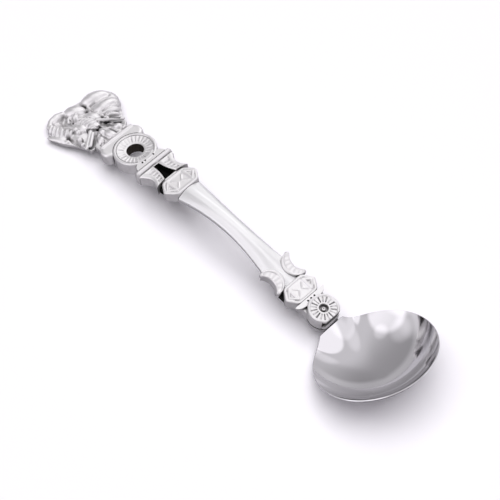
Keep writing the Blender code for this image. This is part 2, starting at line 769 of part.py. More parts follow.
def make_eagle(rear_run, material):
    """Cast bird: a plate with the wings, body, head and legs in relief over it."""
    outline = smooth_outline([(RING_AT + x, y) for x, y in EAGLE_OUTLINE], OUTLINE_STEPS)
    eagle = piece("eagle", prism(outline, FINIAL_BACK, FINIAL_PLATE_TOP), rear_run, material)
    relief = bmesh.new()
    for shells in (EAGLE_LEFT_WING, EAGLE_RIGHT_WING, EAGLE_BODY, EAGLE_LEGS):
        add_shells(relief, shells)
    joined = boolean(eagle, relief, "UNION", rear_run, "eagle_relief")
    joined.use_self = True
    foot = prism(perch_outline(SEAM), 2 * FINIAL_BACK, -2 * FINIAL_BACK)
    boolean(eagle, foot, "DIFFERENCE", rear_run, "eagle_foot")
    reach = 2 * max(abs(value) for point in EAGLE_OUTLINE for value in point)
    below = block((RING_AT - reach, -reach, 4 * FINIAL_BACK), (RING_AT, reach, FINIAL_BACK))
    boolean(eagle, below, "DIFFERENCE", rear_run, "eagle_back")
    heel = block((-reach, -reach, 4 * FINIAL_BACK), (0.0, reach, 0.0))
    heel_line = Matrix.Translation((RING_AT - HEEL_AT, 0.0, FINIAL_BACK))
    heel.transform(heel_line @ Matrix.Rotation(HEEL_ANGLE, 4, "Y"))
    boolean(eagle, heel, "DIFFERENCE", rear_run, "eagle_heel")
    return eagle


def world_points(made):
    """Corners of the finished piece in world space."""
    finished = made.evaluated_get(bpy.context.evaluated_depsgraph_get())
    return [finished.matrix_world @ vert.co for vert in finished.data.vertices]


def lay_down(root, bowl, heel):
    """Turns the spoon until bowl and heel touch one level, then sets that level to zero."""
    for _ in range(8):
        bpy.context.view_layer.update()
        front = min(world_points(bowl), key=lambda point: point.z)
        rear = min(world_points(heel), key=lambda point: point.z)
        root.rotation_euler.y += math.atan2(front.z - rear.z, front.x - rear.x)
    bpy.context.view_layer.update()
    shown = [made for made in bpy.data.objects if made.type == "MESH" and not made.hide_render]
    points = [point for made in shown for point in world_points(made)]
    middle = (min(point.x for point in points) + max(point.x for point in points)) / 2
    root.location -= Vector((middle, 0.0, min(point.z for point in points)))


def main():
    clear_scene()
    polished = silver("polished_silver", POLISHED_ROUGHNESS)
    cast = silver("cast_silver", CAST_ROUGHNESS)
    root = frame("spoon")
    end_x, end_z, end_pitch = stem_line(stem_length())
    rear_run = frame("rear_run", root, pitch=REAR_PITCH)
    stem_end = frame("stem_end", root, (end_x, 0.0, end_z), end_pitch)
    front_run = frame("front_run", root, (end_x, 0.0, end_z), FRONT_PITCH)
    bpy.context.view_layer.update()

    make_stem(root, stem_end, polished)
    for name, side in (("left", 1), ("right", -1)):
        make_crescent("crescent_" + name, side, stem_end, cast)
        make_bracket("bracket_" + name, side, rear_run, cast)
    upper = hexagon(UPPER_COLLAR_REAR, UPPER_COLLAR_FRONT, UPPER_COLLAR_FLAT_HALF, UPPER_COLLAR_SPAN_HALF)
    make_collar("upper_collar", rear_run, upper, REAR_BACK, REAR_TOP, cast)
    lower = hexagon(LOWER_COLLAR_REAR, LOWER_COLLAR_FRONT, LOWER_COLLAR_FLAT_HALF, LOWER_COLLAR_SPAN_HALF)
    make_collar("lower_collar", front_run, lower, FRONT_BACK, FRONT_TOP, cast)
    make_cross_roll(rear_run, cast)
    make_ring(rear_run, cast)
    make_saddle(rear_run, cast)
    make_rosette(front_run, cast)
    make_perch(rear_run, cast)
    eagle = make_eagle(rear_run, cast)
    bowl = make_bowl(root, front_run, polished)
    lay_down(root, bowl, eagle)


main()
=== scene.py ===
"""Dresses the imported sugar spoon: smooth raised bowl, drawn stem and finely cast ornaments.

Lengths in the constants are millimetres, those of the panel and the stage metres. Along the handle,
x runs toward the bowl, y to the left and z up from the shoulder line, where the stem's crown meets
its side walls.
"""

import json
import math

import bmesh
import bpy
from mathutils import Matrix, Vector

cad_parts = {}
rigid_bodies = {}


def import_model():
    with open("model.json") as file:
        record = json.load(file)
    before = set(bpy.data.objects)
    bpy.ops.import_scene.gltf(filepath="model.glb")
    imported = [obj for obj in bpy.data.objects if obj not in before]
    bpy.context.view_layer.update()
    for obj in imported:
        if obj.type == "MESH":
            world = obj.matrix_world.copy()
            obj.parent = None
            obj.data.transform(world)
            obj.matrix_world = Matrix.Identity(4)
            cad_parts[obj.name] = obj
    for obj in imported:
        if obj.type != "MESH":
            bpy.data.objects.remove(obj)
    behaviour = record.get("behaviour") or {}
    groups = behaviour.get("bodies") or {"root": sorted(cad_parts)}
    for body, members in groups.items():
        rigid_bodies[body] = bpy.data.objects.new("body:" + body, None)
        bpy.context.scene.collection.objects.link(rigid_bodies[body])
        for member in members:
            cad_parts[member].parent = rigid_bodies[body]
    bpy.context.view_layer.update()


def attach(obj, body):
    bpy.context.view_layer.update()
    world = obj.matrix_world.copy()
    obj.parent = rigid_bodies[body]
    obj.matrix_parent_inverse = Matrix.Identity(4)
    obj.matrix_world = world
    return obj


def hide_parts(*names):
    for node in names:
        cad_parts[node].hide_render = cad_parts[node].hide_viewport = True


bl_info = {
    "name": "Sugar Spoon",
    "version": (1, 0, 0),
    "blender": (4, 5, 0),
    "location": "View3D > Sidebar > Spoon",
    "description": "Builds a silver sugar spoon with a cast handle around its packed frame",
    "category": "Object",
}

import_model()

MM = 0.001

# Where the spoon lies: rear end of the stem, and how far its frame tips up toward the bowl
STEM_REAR = (-15.3854, 0.0, 10.5766)
REST_TILT = math.radians(2.33506)

# Handle line
REAR_PITCH = math.radians(10.0)
STEM_END_PITCH = math.radians(-16.5)
FRONT_PITCH = math.radians(-6.0)
STEM_ARC_RADIUS = 52.0
STEM_STRAIGHT = 10.4

# Levels above and below the shoulder line
REAR_TOP = 1.0
REAR_BACK = -1.8
FRONT_TOP = 1.2
FRONT_BACK = -1.8

# Stations along the rear run and the front run
UPPER_COLLAR_REAR = -6.3
UPPER_COLLAR_FRONT = -0.05
BRACKET_REAR = -11.2
BRACKET_FRONT = -6.25
ROLL_REAR = -12.7
ROLL_FRONT = -11.2
RING_LUG_END = -12.65
RING_AT = -18.65
LOWER_COLLAR_REAR = 0.05
LOWER_COLLAR_FRONT = 5.6
ROSETTE_LUG_END = 5.6
ROSETTE_AT = 10.2

# Stem
STEM_WAIST_HALF = 2.25
STEM_REAR_HALF = 3.5
STEM_FRONT_HALF = 3.4
STEM_WAIST_AT = 15.5
STEM_CROWN = 0.6
STEM_VAULT = 1.15
STEM_REAR_DEPTH = 2.1
STEM_FRONT_DEPTH = 1.8

# Bowl
BOWL_DEPTH = 7.0
BOWL_TILT = math.radians(24.0)
BOWL_REACH = 3.5
BOWL_DROP = 5.45
APRON_RISE = 5.2
APRON_RISE_SPREAD = 4.4
APRON_REACH = 2.5
APRON_REACH_SPREAD = 3.2
APRON_BLEND = 4
ROSETTE_FRONT = 3.0

# Finial: back of its plate, bevelled heel that it rests on, and floor of its relief
FINIAL_BACK = -1.5
HEEL_AT = -24.0
HEEL_ANGLE = math.radians(14.0)
PERCH_OUTLINE = ((-7.05, 4.9), (-9.45, 4.9), (-13.5, 0.0), (-9.45, -4.9), (-7.05, -4.9))
SHELL_FLOOR = -0.6
FEATHER_ROUNDS = 4
# Length, half width and depth of the blocks that trim the finial
TRIM = (40.0, 20.0, 9.0)

# Fluted band: shares of its panel's slope and ends and of the edges that roll over, and its faces
BAND_SLOPE = 0.07
BAND_ENDS = (0.02, 0.08)
INNER_ROLL = 0.1
OUTER_ROLL = 0.18
FLUTE_FACES = 12
BAND_FACES = 32

# Lugs: angle at which the waist leaves the boss, steps of the flare, and drilled dots
LUG_WAIST = 35.0
LUG_STEPS = 10
DOT_RADIUS = 0.25
DOT_DEPTH = 0.5

# Patterns in the silver: smears, length of the rub's lines and patches in the painted shade on the
# sides
SMEAR_SIZE = 8.33
RUB_LENGTH = 16.7
PATCH_SIZE = 1.43
# Width of the rub's lines, pits and crust, drawn coarser than real so that they show
RUB_WIDTH = 0.25
PIT_SIZE = 0.4
CRUST_SIZE = 0.67

# Faces of rods and shells, and power that narrows the strokes of ring and rosette
ROD_SIDES = 16
ROD_RINGS = 10
SHELL_SIDES = 32
SHELL_RINGS = 20
STROKE_POWER = 3

# Angles in degrees up to which a piece is shaded smooth
SMOOTH_ANGLE = 40.0
STEM_SMOOTH_ANGLE = 50.0
FEATHER_SMOOTH_ANGLE = 80.0

# Points closer than this are one, faces closer than this lie on one plane
WELD = 0.0001
TOUCH = 0.01
# Least upward share of a normal that counts as the upper skin
UPWARD = 0.05

BOWL_PIECE = "raised_bowl"


def linear(code):
    """Linear colour of an sRGB hex code."""
    channels = [int(code[index : index + 2], 16) / 255 for index in (0, 2, 4)]
    return [c / 12.92 if c <= 0.04045 else ((c + 0.055) / 1.055) ** 2.4 for c in channels]


class SpoonSizes(bpy.types.PropertyGroup):
    """Sizes of the spoon that a user would change"""

    bowl_radius: bpy.props.FloatProperty(
        name="Bowl Radius", description="Radius of the rim", default=14.85 * MM, subtype="DISTANCE"
    )
    bowl_wall: bpy.props.FloatProperty(
        name="Bowl Wall",
        description="Thickness of the bowl's sheet",
        default=0.8 * MM,
        subtype="DISTANCE",
    )
    ring_flutes: bpy.props.IntProperty(
        name="Ring Flutes", description="Strokes cut round the ring", default=26, min=8
    )
    rosette_rays: bpy.props.IntProperty(
        name="Rosette Rays", description="Rays cut round the rosette", default=18, min=6
    )
    feather_grain: bpy.props.FloatProperty(
        name="Feather Grain",
        description="Voxel of the cast bird",
        default=0.13 * MM,
        subtype="DISTANCE",
    )


class SpoonFinish(bpy.types.PropertyGroup):
    """Tints of the silver and of the floor"""

    polished: bpy.props.FloatVectorProperty(
        name="Polished Silver",
        description="Tint of the buffed bowl and stem",
        default=linear("F1F0F2"),
        subtype="COLOR",
    )
    cast: bpy.props.FloatVectorProperty(
        name="Cast Silver",
        description="Tint of the tumbled castings",
        default=linear("F4F2F3"),
        subtype="COLOR",
    )
    # The tarnish tint is also the painted shade of the castings' recesses and sides and of the stem's
    # sides
    tarnish_and_shade: bpy.props.FloatVectorProperty(
        name="Tarnish",
        description="Tint of the darkened recesses",
        default=linear("3A3638"),
        subtype="COLOR",
    )
    floor: bpy.props.FloatVectorProperty(
        name="Floor", description="Tint of the paper sweep", default=linear("FBF8FE"), subtype="COLOR"
    )


def run(place, pitch):
    """Frame whose x axis climbs at the pitch."""
    return Matrix.Translation(place) @ Matrix.Rotation(-pitch, 4, "Y")


def stem_length():
    """Length of the shoulder line along the stem."""
    return STEM_ARC_RADIUS * (REAR_PITCH - STEM_END_PITCH) + STEM_STRAIGHT


def stem_line(distance):
    """Place and pitch of the shoulder line at a distance from the stem's rear end."""
    bent = min(distance, STEM_ARC_RADIUS * (REAR_PITCH - STEM_END_PITCH))
    pitch = REAR_PITCH - bent / STEM_ARC_RADIUS
    x = STEM_ARC_RADIUS * (math.sin(REAR_PITCH) - math.sin(pitch))
    z = STEM_ARC_RADIUS * (math.cos(pitch) - math.cos(REAR_PITCH))
    straight = distance - bent
    return Vector((x + straight * math.cos(pitch), 0.0, z + straight * math.sin(pitch))), pitch


SPOON = Matrix.Scale(MM, 4) @ run(STEM_REAR, REST_TILT)
STEM_END, STEM_LAST_PITCH = stem_line(stem_length())
REAR_RUN = SPOON @ run((0.0, 0.0, 0.0), REAR_PITCH)
STEM_END_RUN = SPOON @ run(STEM_END, STEM_LAST_PITCH)
FRONT_RUN = SPOON @ run(STEM_END, FRONT_PITCH)


def add(tree, kind, settings=None, links=None):
    """Adds a node, sets its values and links its inputs; a node stands for its first output."""
    node = tree.nodes.new("ShaderNode" + kind)
    for key, value in (settings or {}).items():
        if isinstance(key, str) and hasattr(node, key):
            setattr(node, key, value)
        else:
            node.inputs[key].default_value = value
    for key, source in (links or {}).items():
        output = source.outputs[0] if isinstance(source, bpy.types.Node) else source
        tree.links.new(output, node.inputs[key])
    return node


def new_material(name):
    """Material with an empty node tree."""
    material = bpy.data.materials.new(name)
    material.use_nodes = True
    material.node_tree.nodes.clear()
    return material, material.node_tree


def polished_silver(finish):
    """Sterling silver, raised and buffed: a mirror with faint smears."""
    material, tree = new_material("buffed_sterling")
    where = add(tree, "TexCoord").outputs["Object"]
    size = {"Scale": 1 / (SMEAR_SIZE * MM), "Detail": 3.0}
    smears = add(tree, "TexNoise", size, {"Vector": where})
    limits = {"From Min": 0.3, "From Max": 0.7, "To Min": 0.05, "To Max": 0.09}
    rough = add(tree, "MapRange", limits, {"Value": smears})
    look = {"Base Color": (*finish.polished, 1.0), "Metallic": 1.0}
    shader = add(tree, "BsdfPrincipled", look, {"Roughness": rough})
    add(tree, "OutputMaterial", None, {"Surface": shader})
    return material


def satin_silver(finish):
    """Sterling silver rubbed along the stem: a soft sheen, faint lengthwise lines and painted shade on
    its sides.
    """
    material, tree = new_material("rubbed_sterling")
    where = add(tree, "TexCoord").outputs
    along = 1 / (RUB_LENGTH * MM)
    across = 1 / (RUB_WIDTH * MM)
    size = {"Scale": (along, across, across)}
    stretch = add(tree, "Mapping", size, {"Vector": where["Object"]})
    lines = add(tree, "TexNoise", {"Scale": 1.0, "Detail": 2.0}, {"Vector": stretch})
    limits = {"From Min": 0.3, "From Max": 0.7, "To Min": 0.17, "To Max": 0.24}
    rough = add(tree, "MapRange", limits, {"Value": lines})
    # Painted shade: faces that point sideways or down are mixed toward the dark tint, at most 40 per
    # cent
    facing = add(tree, "SeparateXYZ", None, {"Vector": where["Normal"]}).outputs["Z"]
    limits = {"From Min": 0.1, "From Max": 0.5, "To Min": 0.6}
    shaded_sides = add(tree, "MapRange", limits, {"Value": facing})
    tints = {"data_type": "RGBA", "A": (*finish.tarnish_and_shade, 1.0), "B": (*finish.polished, 1.0)}
    tint = add(tree, "Mix", tints, {"Factor": shaded_sides}).outputs["Result"]
    links = {"Base Color": tint, "Roughness": rough}
    shader = add(tree, "BsdfPrincipled", {"Metallic": 0.5}, links)
    add(tree, "OutputMaterial", None, {"Surface": shader})
    return material


def cast_silver(finish):
    """Cast sterling, tumbled: satin skin with fine pits, oxide and painted shade in the recesses, and
    painted shade on the sides in random patches.
    """
    found = bpy.data.materials.get("tumbled_sterling")
    if found:
        return found
    material, tree = new_material("tumbled_sterling")
    where = add(tree, "TexCoord").outputs
    # Oxide and painted shade: the tint darkens in seams and creases found by occlusion within 0.6 mm,
    # and in hollows within 2 mm
    lines = add(tree, "AmbientOcclusion", {"samples": 8, "Distance": 0.6 * MM})
    hollows = add(tree, "AmbientOcclusion", {"samples": 8, "Distance": 2.0 * MM})
    limits = {"From Min": 0.25, "From Max": 0.8}
    oxide_and_shade_lines = add(tree, "MapRange", limits, {"Value": lines.outputs["AO"]})
    limits = {"From Min": 0.25, "From Max": 0.75, "To Min": 0.35}
    oxide_and_shade_hollows = add(tree, "MapRange", limits, {"Value": hollows.outputs["AO"]})
    # Painted shade: faces that point sideways or down darken, in random patches
    facing = add(tree, "SeparateXYZ", None, {"Vector": where["Normal"]}).outputs["Z"]
    size = {"Scale": 1 / (PATCH_SIZE * MM), "Detail": 2.0}
    patches = add(tree, "TexNoise", size, {"Vector": where["Object"]})
    weight = {"operation": "MULTIPLY_ADD", 1: 0.5}
    patches_and_facing = add(tree, "Math", weight, {0: patches, 2: facing})
    limits = {"From Min": 0.2, "From Max": 0.85, "To Min": 0.58}
    patchy_shaded_sides = add(tree, "MapRange", limits, {"Value": patches_and_facing})
    both = {"operation": "MULTIPLY"}
    open_skin = add(tree, "Math", both, {0: oxide_and_shade_lines, 1: oxide_and_shade_hollows})
    bright_skin = add(tree, "Math", both, {0: open_skin, 1: patchy_shaded_sides})
    tints = {"data_type": "RGBA", "A": (*finish.tarnish_and_shade, 1.0), "B": (*finish.cast, 1.0)}
    tint = add(tree, "Mix", tints, {"Factor": bright_skin}).outputs["Result"]
    size = {"Scale": 1 / (PIT_SIZE * MM), "Detail": 2.0}
    pits = add(tree, "TexNoise", size, {"Vector": where["Object"]})
    relief = {"Strength": 0.1, "Distance": 0.1 * MM}
    bump = add(tree, "Bump", relief, {"Height": pits})
    look = {"Metallic": 0.75, "Roughness": 0.28}
    shader = add(tree, "BsdfPrincipled", look, {"Base Color": tint, "Normal": bump})
    add(tree, "OutputMaterial", None, {"Surface": shader})
    return material


def black_silver(name, dark, light):
    """Sterling blackened by oxide where no polishing reaches: matt and slightly crusted."""
    found = bpy.data.materials.get(name)
    if found:
        return found
    material, tree = new_material(name)
    where = add(tree, "TexCoord").outputs["Object"]
    size = {"Scale": 1 / (CRUST_SIZE * MM), "Detail": 3.0}
    crust = add(tree, "TexNoise", size, {"Vector": where})
    tints = {"data_type": "RGBA", "A": (*linear(dark), 1.0), "B": (*linear(light), 1.0)}
    tint = add(tree, "Mix", tints, {"Factor": crust}).outputs["Result"]
    look = {"Roughness": 0.7, "Specular IOR Level": 0.1}
    shader = add(tree, "BsdfPrincipled", look, {"Base Color": tint})
    add(tree, "OutputMaterial", None, {"Surface": shader})
    return material


def slot_black():
    """Near-black of the slot and of the grounds beside the collars."""
    return black_silver("oxidised_sterling", "050505", "141314")


def bore_black():
    """Brown-black of the ring's eye, the dots and the rosette's recess."""
    return black_silver("smoked_sterling", "221E1C", "443E3B")


def make_object(name, bm):
    """Links a bmesh into the scene as an object."""
    bmesh.ops.recalc_face_normals(bm, faces=bm.faces[:])
    mesh = bpy.data.meshes.new(name)
    bm.to_mesh(mesh)
    bm.free()
    made = bpy.data.objects.new(name, mesh)
    bpy.context.scene.collection.objects.link(made)
    return made


def joined(bm, other):
    """Adds a second shape to the first; the second goes."""
    mesh = bpy.data.meshes.new("joined")
    other.to_mesh(mesh)
    other.free()
    bm.from_mesh(mesh)
    bpy.data.meshes.remove(mesh)
    return bm


def discard(thing):
    """Removes an object and its mesh."""
    mesh = thing.data
    bpy.data.objects.remove(thing)
    bpy.data.meshes.remove(mesh)


def settled(thing):
    """Bmesh of the object with its modifiers applied; the object goes."""
    bpy.context.view_layer.update()
    graph = bpy.context.evaluated_depsgraph_get()
    mesh = bpy.data.meshes.new_from_object(thing.evaluated_get(graph))
    bm = bmesh.new()
    bm.from_mesh(mesh)
    bpy.data.meshes.remove(mesh)
    discard(thing)
    return bm


def carve(bm, tool, operation="DIFFERENCE"):
    """Cuts, adds or intersects one closed shape with another."""
    target = make_object("carved", bm)
    other = make_object("tool", tool)
    modifier = target.modifiers.new("carve", "BOOLEAN")
    modifier.operation = operation
    modifier.object = other
    result = settled(target)
    discard(other)
    return result


def cast_together(bm, voxel, softening=3):
    """Fuses overlapping masses into one skin, as a casting is, and softens it."""
    mass = make_object("mass", bm)
    remesh = mass.modifiers.new("skin", "REMESH")
    remesh.mode = "VOXEL"
    remesh.voxel_size = voxel
    skin = settled(mass)
    soften(skin, softening)
    return skin


def soften(bm, rounds):
    """Smooths the whole skin a number of times."""
    for _ in range(rounds):
        bmesh.ops.smooth_vert(
            bm, verts=bm.verts[:], factor=0.5, use_axis_x=True, use_axis_y=True, use_axis_z=True
        )


def finish_piece(name, bm, node, material, place, smooth_angle=SMOOTH_ANGLE):
    """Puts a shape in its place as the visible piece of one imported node."""
    bm.transform(place)
    made = make_object(name, bm)
    made.data.materials.append(material)
    made.data.shade_smooth()
    made.data.set_sharp_from_angle(angle=math.radians(smooth_angle))
    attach(made, "root")
    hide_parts(node)
    return made


def cast_piece(context, name, bm, node, place, dark=None, smooth_angle=SMOOTH_ANGLE):
    """Puts a casting in its place, with a dark second material for its blackened faces."""
    material = cast_silver(context.scene.spoon_finish)
    made = finish_piece(name, bm, node, material, place, smooth_angle)
    if dark:
        made.data.materials.append(dark)


def bevel(bm, edges, offset, segments):
    """Rounds edges evenly."""
    bmesh.ops.bevel(
        bm, geom=edges, offset=offset, segments=segments, profile=0.5, affect="EDGES", material=-1
    )


def prism(outline, bottom, top):
    """Extrudes a plan outline upward."""
    bm = bmesh.new()
    base = bm.faces.new([bm.verts.new((x, y, bottom)) for x, y in outline])
    grown = bmesh.ops.extrude_face_region(bm, geom=[base])["geom"]
    raised = [item for item in grown if isinstance(item, bmesh.types.BMVert)]
    bmesh.ops.translate(bm, verts=raised, vec=(0.0, 0.0, top - bottom))
    return bm


def top_face(bm):
    """Highest face, the largest where several lie level."""
    return max(bm.faces, key=lambda face: (round(face.calc_center_median().z, 3), face.calc_area()))


def thicken(bm, bottom):
    """Gives a sheet of relief its sides and a flat back."""
    for item in bmesh.ops.extrude_face_region(bm, geom=bm.faces[:])["geom"]:
        if isinstance(item, bmesh.types.BMVert):
            item.co.z = bottom


def block(low, high):
    """Box between two corners."""
    low = Vector(low)
    high = Vector(high)
    bm = bmesh.new()
    size = Matrix.Diagonal((*(high - low), 1.0))
    bmesh.ops.create_cube(bm, size=1.0, matrix=Matrix.Translation((low + high) / 2) @ size)
    return bm


def blacken(bm, chosen):
    """Gives the faces whose middles pass the test to the second material."""
    for face in bm.faces:
        if chosen(face.calc_center_median()):
            face.material_index = 1


def add_cylinder(bm, place, radius, height, segments):
    """Capped cylinder along the z axis of its place."""
    bmesh.ops.create_cone(
        bm,
        cap_ends=True,
        segments=segments,
        radius1=radius,
        radius2=radius,
        depth=height,
        matrix=place,
    )


def arc(centre, radius, start, end, steps):
    """Points of an arc in plan, both ends included."""
    points = []
    for step in range(steps + 1):
        angle = math.radians(start + (end - start) * step / steps)
        points.append((centre[0] + radius * math.cos(angle), centre[1] + radius * math.sin(angle)))
    return points


def smooth_outline(points, steps):
    """Closed curve through the points."""
    curve = []
    count = len(points)
    for index in range(count):
        before, start, end, after = (Vector(points[(index + shift) % count]) for shift in (-1, 0, 1, 2))
        for step in range(steps):
            t = step / steps
            bend = start * 2 + (end - before) * t
            bend += (before * 2 - start * 5 + end * 4 - after) * t**2
            bend += (start * 3 - before - end * 3 + after) * t**3
            curve.append(bend / 2)
    return curve


def rounded(outline, radius, steps):
    """Outline with each corner softened, starting a radius away from it."""
    curve = []
    count = len(outline)
    for index in range(count):
        before, corner, after = (Vector(outline[(index + shift) % count]) for shift in (-1, 0, 1))
        start = corner + (before - corner).normalized() * radius
        end = corner + (after - corner).normalized() * radius
        for step in range(steps + 1):
            t = step / steps
            curve.append(start * (1 - t) ** 2 + corner * (2 * t * (1 - t)) + end * t**2)
    return curve


def add_rod(bm, points, radius):
    """Round rod with round ends through the points."""
    spots = [Vector(point) for point in points]
    for spot in spots:
        place = Matrix.Translation(spot)
        bmesh.ops.create_uvsphere(
            bm, u_segments=ROD_SIDES, v_segments=ROD_RINGS, radius=radius, matrix=place
        )
    for start, end in zip(spots, spots[1:]):
        turn = (end - start).to_track_quat("Z", "Y").to_matrix().to_4x4()
        place = Matrix.Translation((start + end) / 2) @ turn
        add_cylinder(bm, place, radius, (end - start).length, ROD_SIDES)


def spun(profile, steps, centre_x=0.0, closed=True):
    """Spins a profile of radius and height about an upright axis."""
    bm = bmesh.new()
    verts = [bm.verts.new((radius, 0.0, height)) for radius, height in profile]
    first = 0 if closed else 1
    edges = [bm.edges.new((verts[index - 1], verts[index])) for index in range(first, len(verts))]
    bmesh.ops.spin(
        bm,
        geom=verts + edges,
        cent=(0.0, 0.0, 0.0),
        axis=(0.0, 0.0, 1.0),
        angle=math.tau,
        steps=steps,
        use_merge=True,
    )
    bmesh.ops.translate(bm, verts=bm.verts[:], vec=(centre_x, 0.0, 0.0))
    return bm


def smooth_step(low, high, value):
    """Share of the way from low to high, eased at both ends."""
    share = min(max((value - low) / (high - low), 0.0), 1.0)
    return share * share * (3.0 - 2.0 * share)


def cut_strokes(bm, centre_x, radii, count, depths):
    """Narrow radial strokes, some deep and some faint, cut into the top between two radii."""
    inner, outer = radii
    for vert in bm.verts:
        x = vert.co.x - centre_x
        radius = math.hypot(x, vert.co.y)
        if inner < radius < outer and vert.co.z > 0:
            turns = count * math.atan2(vert.co.y, x) / math.tau
            stroke = math.floor(turns + 0.5)
            groove = (0.5 + 0.5 * math.cos(math.tau * turns)) ** STROKE_POWER
            vert.co.z -= depths[stroke % len(depths)] * groove


def bowl_profile(share, radius):
    """Radius and height of the dish's inner face, from its bottom to its rim."""
    sphere = (radius**2 + BOWL_DEPTH**2) / (2 * BOWL_DEPTH)
    across = radius * share
    return across, sphere - BOWL_DEPTH - math.sqrt(sphere**2 - across**2)


def lift_apron(point, radius):
    """Draws the dish's back edge up and back to the rosette."""
    share = math.hypot(point.x, point.y) / radius
    if point.x >= 0 or share == 0:
        return point
    rim_y = point.y / share
    blend = share**APRON_BLEND
    rise = APRON_RISE * math.exp(-((rim_y / APRON_RISE_SPREAD) ** 2)) * blend
    reach = APRON_REACH * math.exp(-((rim_y / APRON_REACH_SPREAD) ** 2)) * blend
    x = rise * math.sin(BOWL_TILT) - reach * math.cos(BOWL_TILT)
    z = rise * math.cos(BOWL_TILT) + reach * math.sin(BOWL_TILT)
    return point + Vector((x, 0.0, z))


class SPOON_OT_bowl(bpy.types.Operator):
    """Raises the round bowl with its apron and rounds its lip"""

    bl_idname = "spoon.bowl"
    bl_label = "Raise Bowl"

    RINGS = 56
    SIDES = 224
    # Share of the wall left at the rim, and bevel of its lip
    RIM_SHARE = 0.36
    LIP = 0.12
    LIP_ANGLE = math.radians(50.0)

    def execute(self, context):
        sizes = context.scene.spoon_sizes
        radius = sizes.bowl_radius / MM
        shares = [math.sin(math.pi / 2 * ring / self.RINGS) for ring in range(self.RINGS + 1)]
        bm = spun([bowl_profile(share, radius) for share in shares], self.SIDES, closed=False)
        bmesh.ops.remove_doubles(bm, verts=bm.verts[:], dist=WELD)
        weights = bm.verts.layers.deform.verify()
        for vert in bm.verts:
            share = math.hypot(vert.co.x, vert.co.y) / radius
            vert[weights][0] = 1.0 - min(share, 1.0)
            vert.co = lift_apron(vert.co, radius)
        front = run(STEM_END, FRONT_PITCH)
        back = front @ Vector((ROSETTE_AT + BOWL_REACH, 0.0, -BOWL_DROP))
        toward_tip = Vector((math.cos(BOWL_TILT), 0.0, math.sin(BOWL_TILT)))
        bm.transform(run(back + radius * toward_tip, BOWL_TILT))
        seat = front @ Vector((ROSETTE_AT + ROSETTE_FRONT, 0.0, 0.0))
        ahead = front.to_3x3() @ Vector((1.0, 0.0, 0.0))
        bmesh.ops.bisect_plane(
            bm,
            geom=bm.verts[:] + bm.edges[:] + bm.faces[:],
            plane_co=seat,
            plane_no=ahead,
            clear_inner=True,
        )
        material = polished_silver(context.scene.spoon_finish)
        bowl = finish_piece(BOWL_PIECE, bm, "bowl", material, SPOON)
        lowest = min(bowl.data.polygons, key=lambda face: face.center.z)
        if lowest.normal.z > 0:
            bowl.data.flip_normals()
        sheet = bowl.modifiers.new("sheet", "SOLIDIFY")
        sheet.thickness = sizes.bowl_wall
        sheet.offset = -1.0
        sheet.use_even_offset = True
        sheet.vertex_group = bowl.vertex_groups.new(name="full_wall").name
        sheet.thickness_vertex_group = self.RIM_SHARE
        lip = bowl.modifiers.new("lip", "BEVEL")
        lip.width = self.LIP * MM
        lip.segments = 2
        lip.limit_method = "ANGLE"
        lip.angle_limit = self.LIP_ANGLE
        return {"FINISHED"}


def stem_half_width(distance):
    """Half width of the stem, waisted between its two ends."""
    if distance < STEM_WAIST_AT:
        share = 1 - distance / STEM_WAIST_AT
        return STEM_WAIST_HALF + (STEM_REAR_HALF - STEM_WAIST_HALF) * share**2
    share = (distance - STEM_WAIST_AT) / (stem_length() - STEM_STRAIGHT / 2 - STEM_WAIST_AT)
    return STEM_WAIST_HALF + (STEM_FRONT_HALF - STEM_WAIST_HALF) * min(share, 1) ** 2


class SPOON_OT_stem(bpy.types.Operator):
    """Draws the waisted stem from a round bar, bends it and crowns its top"""

    bl_idname = "spoon.stem"
    bl_label = "Draw Stem"

    SIDES = 64
    CUTS = 60
    WALL_POWER = 0.3

    def execute(self, context):
        bm = bmesh.new()
        add_cylinder(bm, Matrix.Rotation(math.pi / 2, 4, "Y"), 1.0, 1.0, self.SIDES)
        along = [edge for edge in bm.edges if abs(edge.verts[0].co.x - edge.verts[1].co.x) > 0.5]
        bmesh.ops.subdivide_edges(bm, edges=along, cuts=self.CUTS, use_grid_fill=True)
        for vert in bm.verts:
            vert.co = self.shaped(vert.co)
        material = satin_silver(context.scene.spoon_finish)
        finish_piece("drawn_stem", bm, "stem", material, SPOON, STEM_SMOOTH_ANGLE)
        return {"FINISHED"}

    def shaped(self, point):
        """Moves a point of a bar of radius 1 and length 1 to the stem's bent, crowned skin."""
        share = point.x + 0.5
        place, pitch = stem_line(share * stem_length())
        half = stem_half_width(share * stem_length())
        depth = STEM_REAR_DEPTH + (STEM_FRONT_DEPTH - STEM_REAR_DEPTH) * share
        across = point.y
        height = point.z
        edge = STEM_CROWN - STEM_VAULT
        if height >= 0:
            y = half * across
            z = edge + STEM_VAULT * height**2
        else:
            y = half * math.copysign(abs(across) ** self.WALL_POWER, across)
            z = edge - (depth + edge) * abs(height) ** self.WALL_POWER
        up = Vector((-math.sin(pitch), 0.0, math.cos(pitch)))
        return place + Vector((0.0, y, 0.0)) + z * up


def hexagon(rear, front, flat_half, span_half):
    """Plan outline of a collar: a flat at each end and a point at each side."""
    middle = (rear + front) / 2
    return [
        (rear, -flat_half),
        (middle, -span_half),
        (front, -flat_half),
        (front, flat_half),
        (middle, span_half),
        (rear, flat_half),
    ]


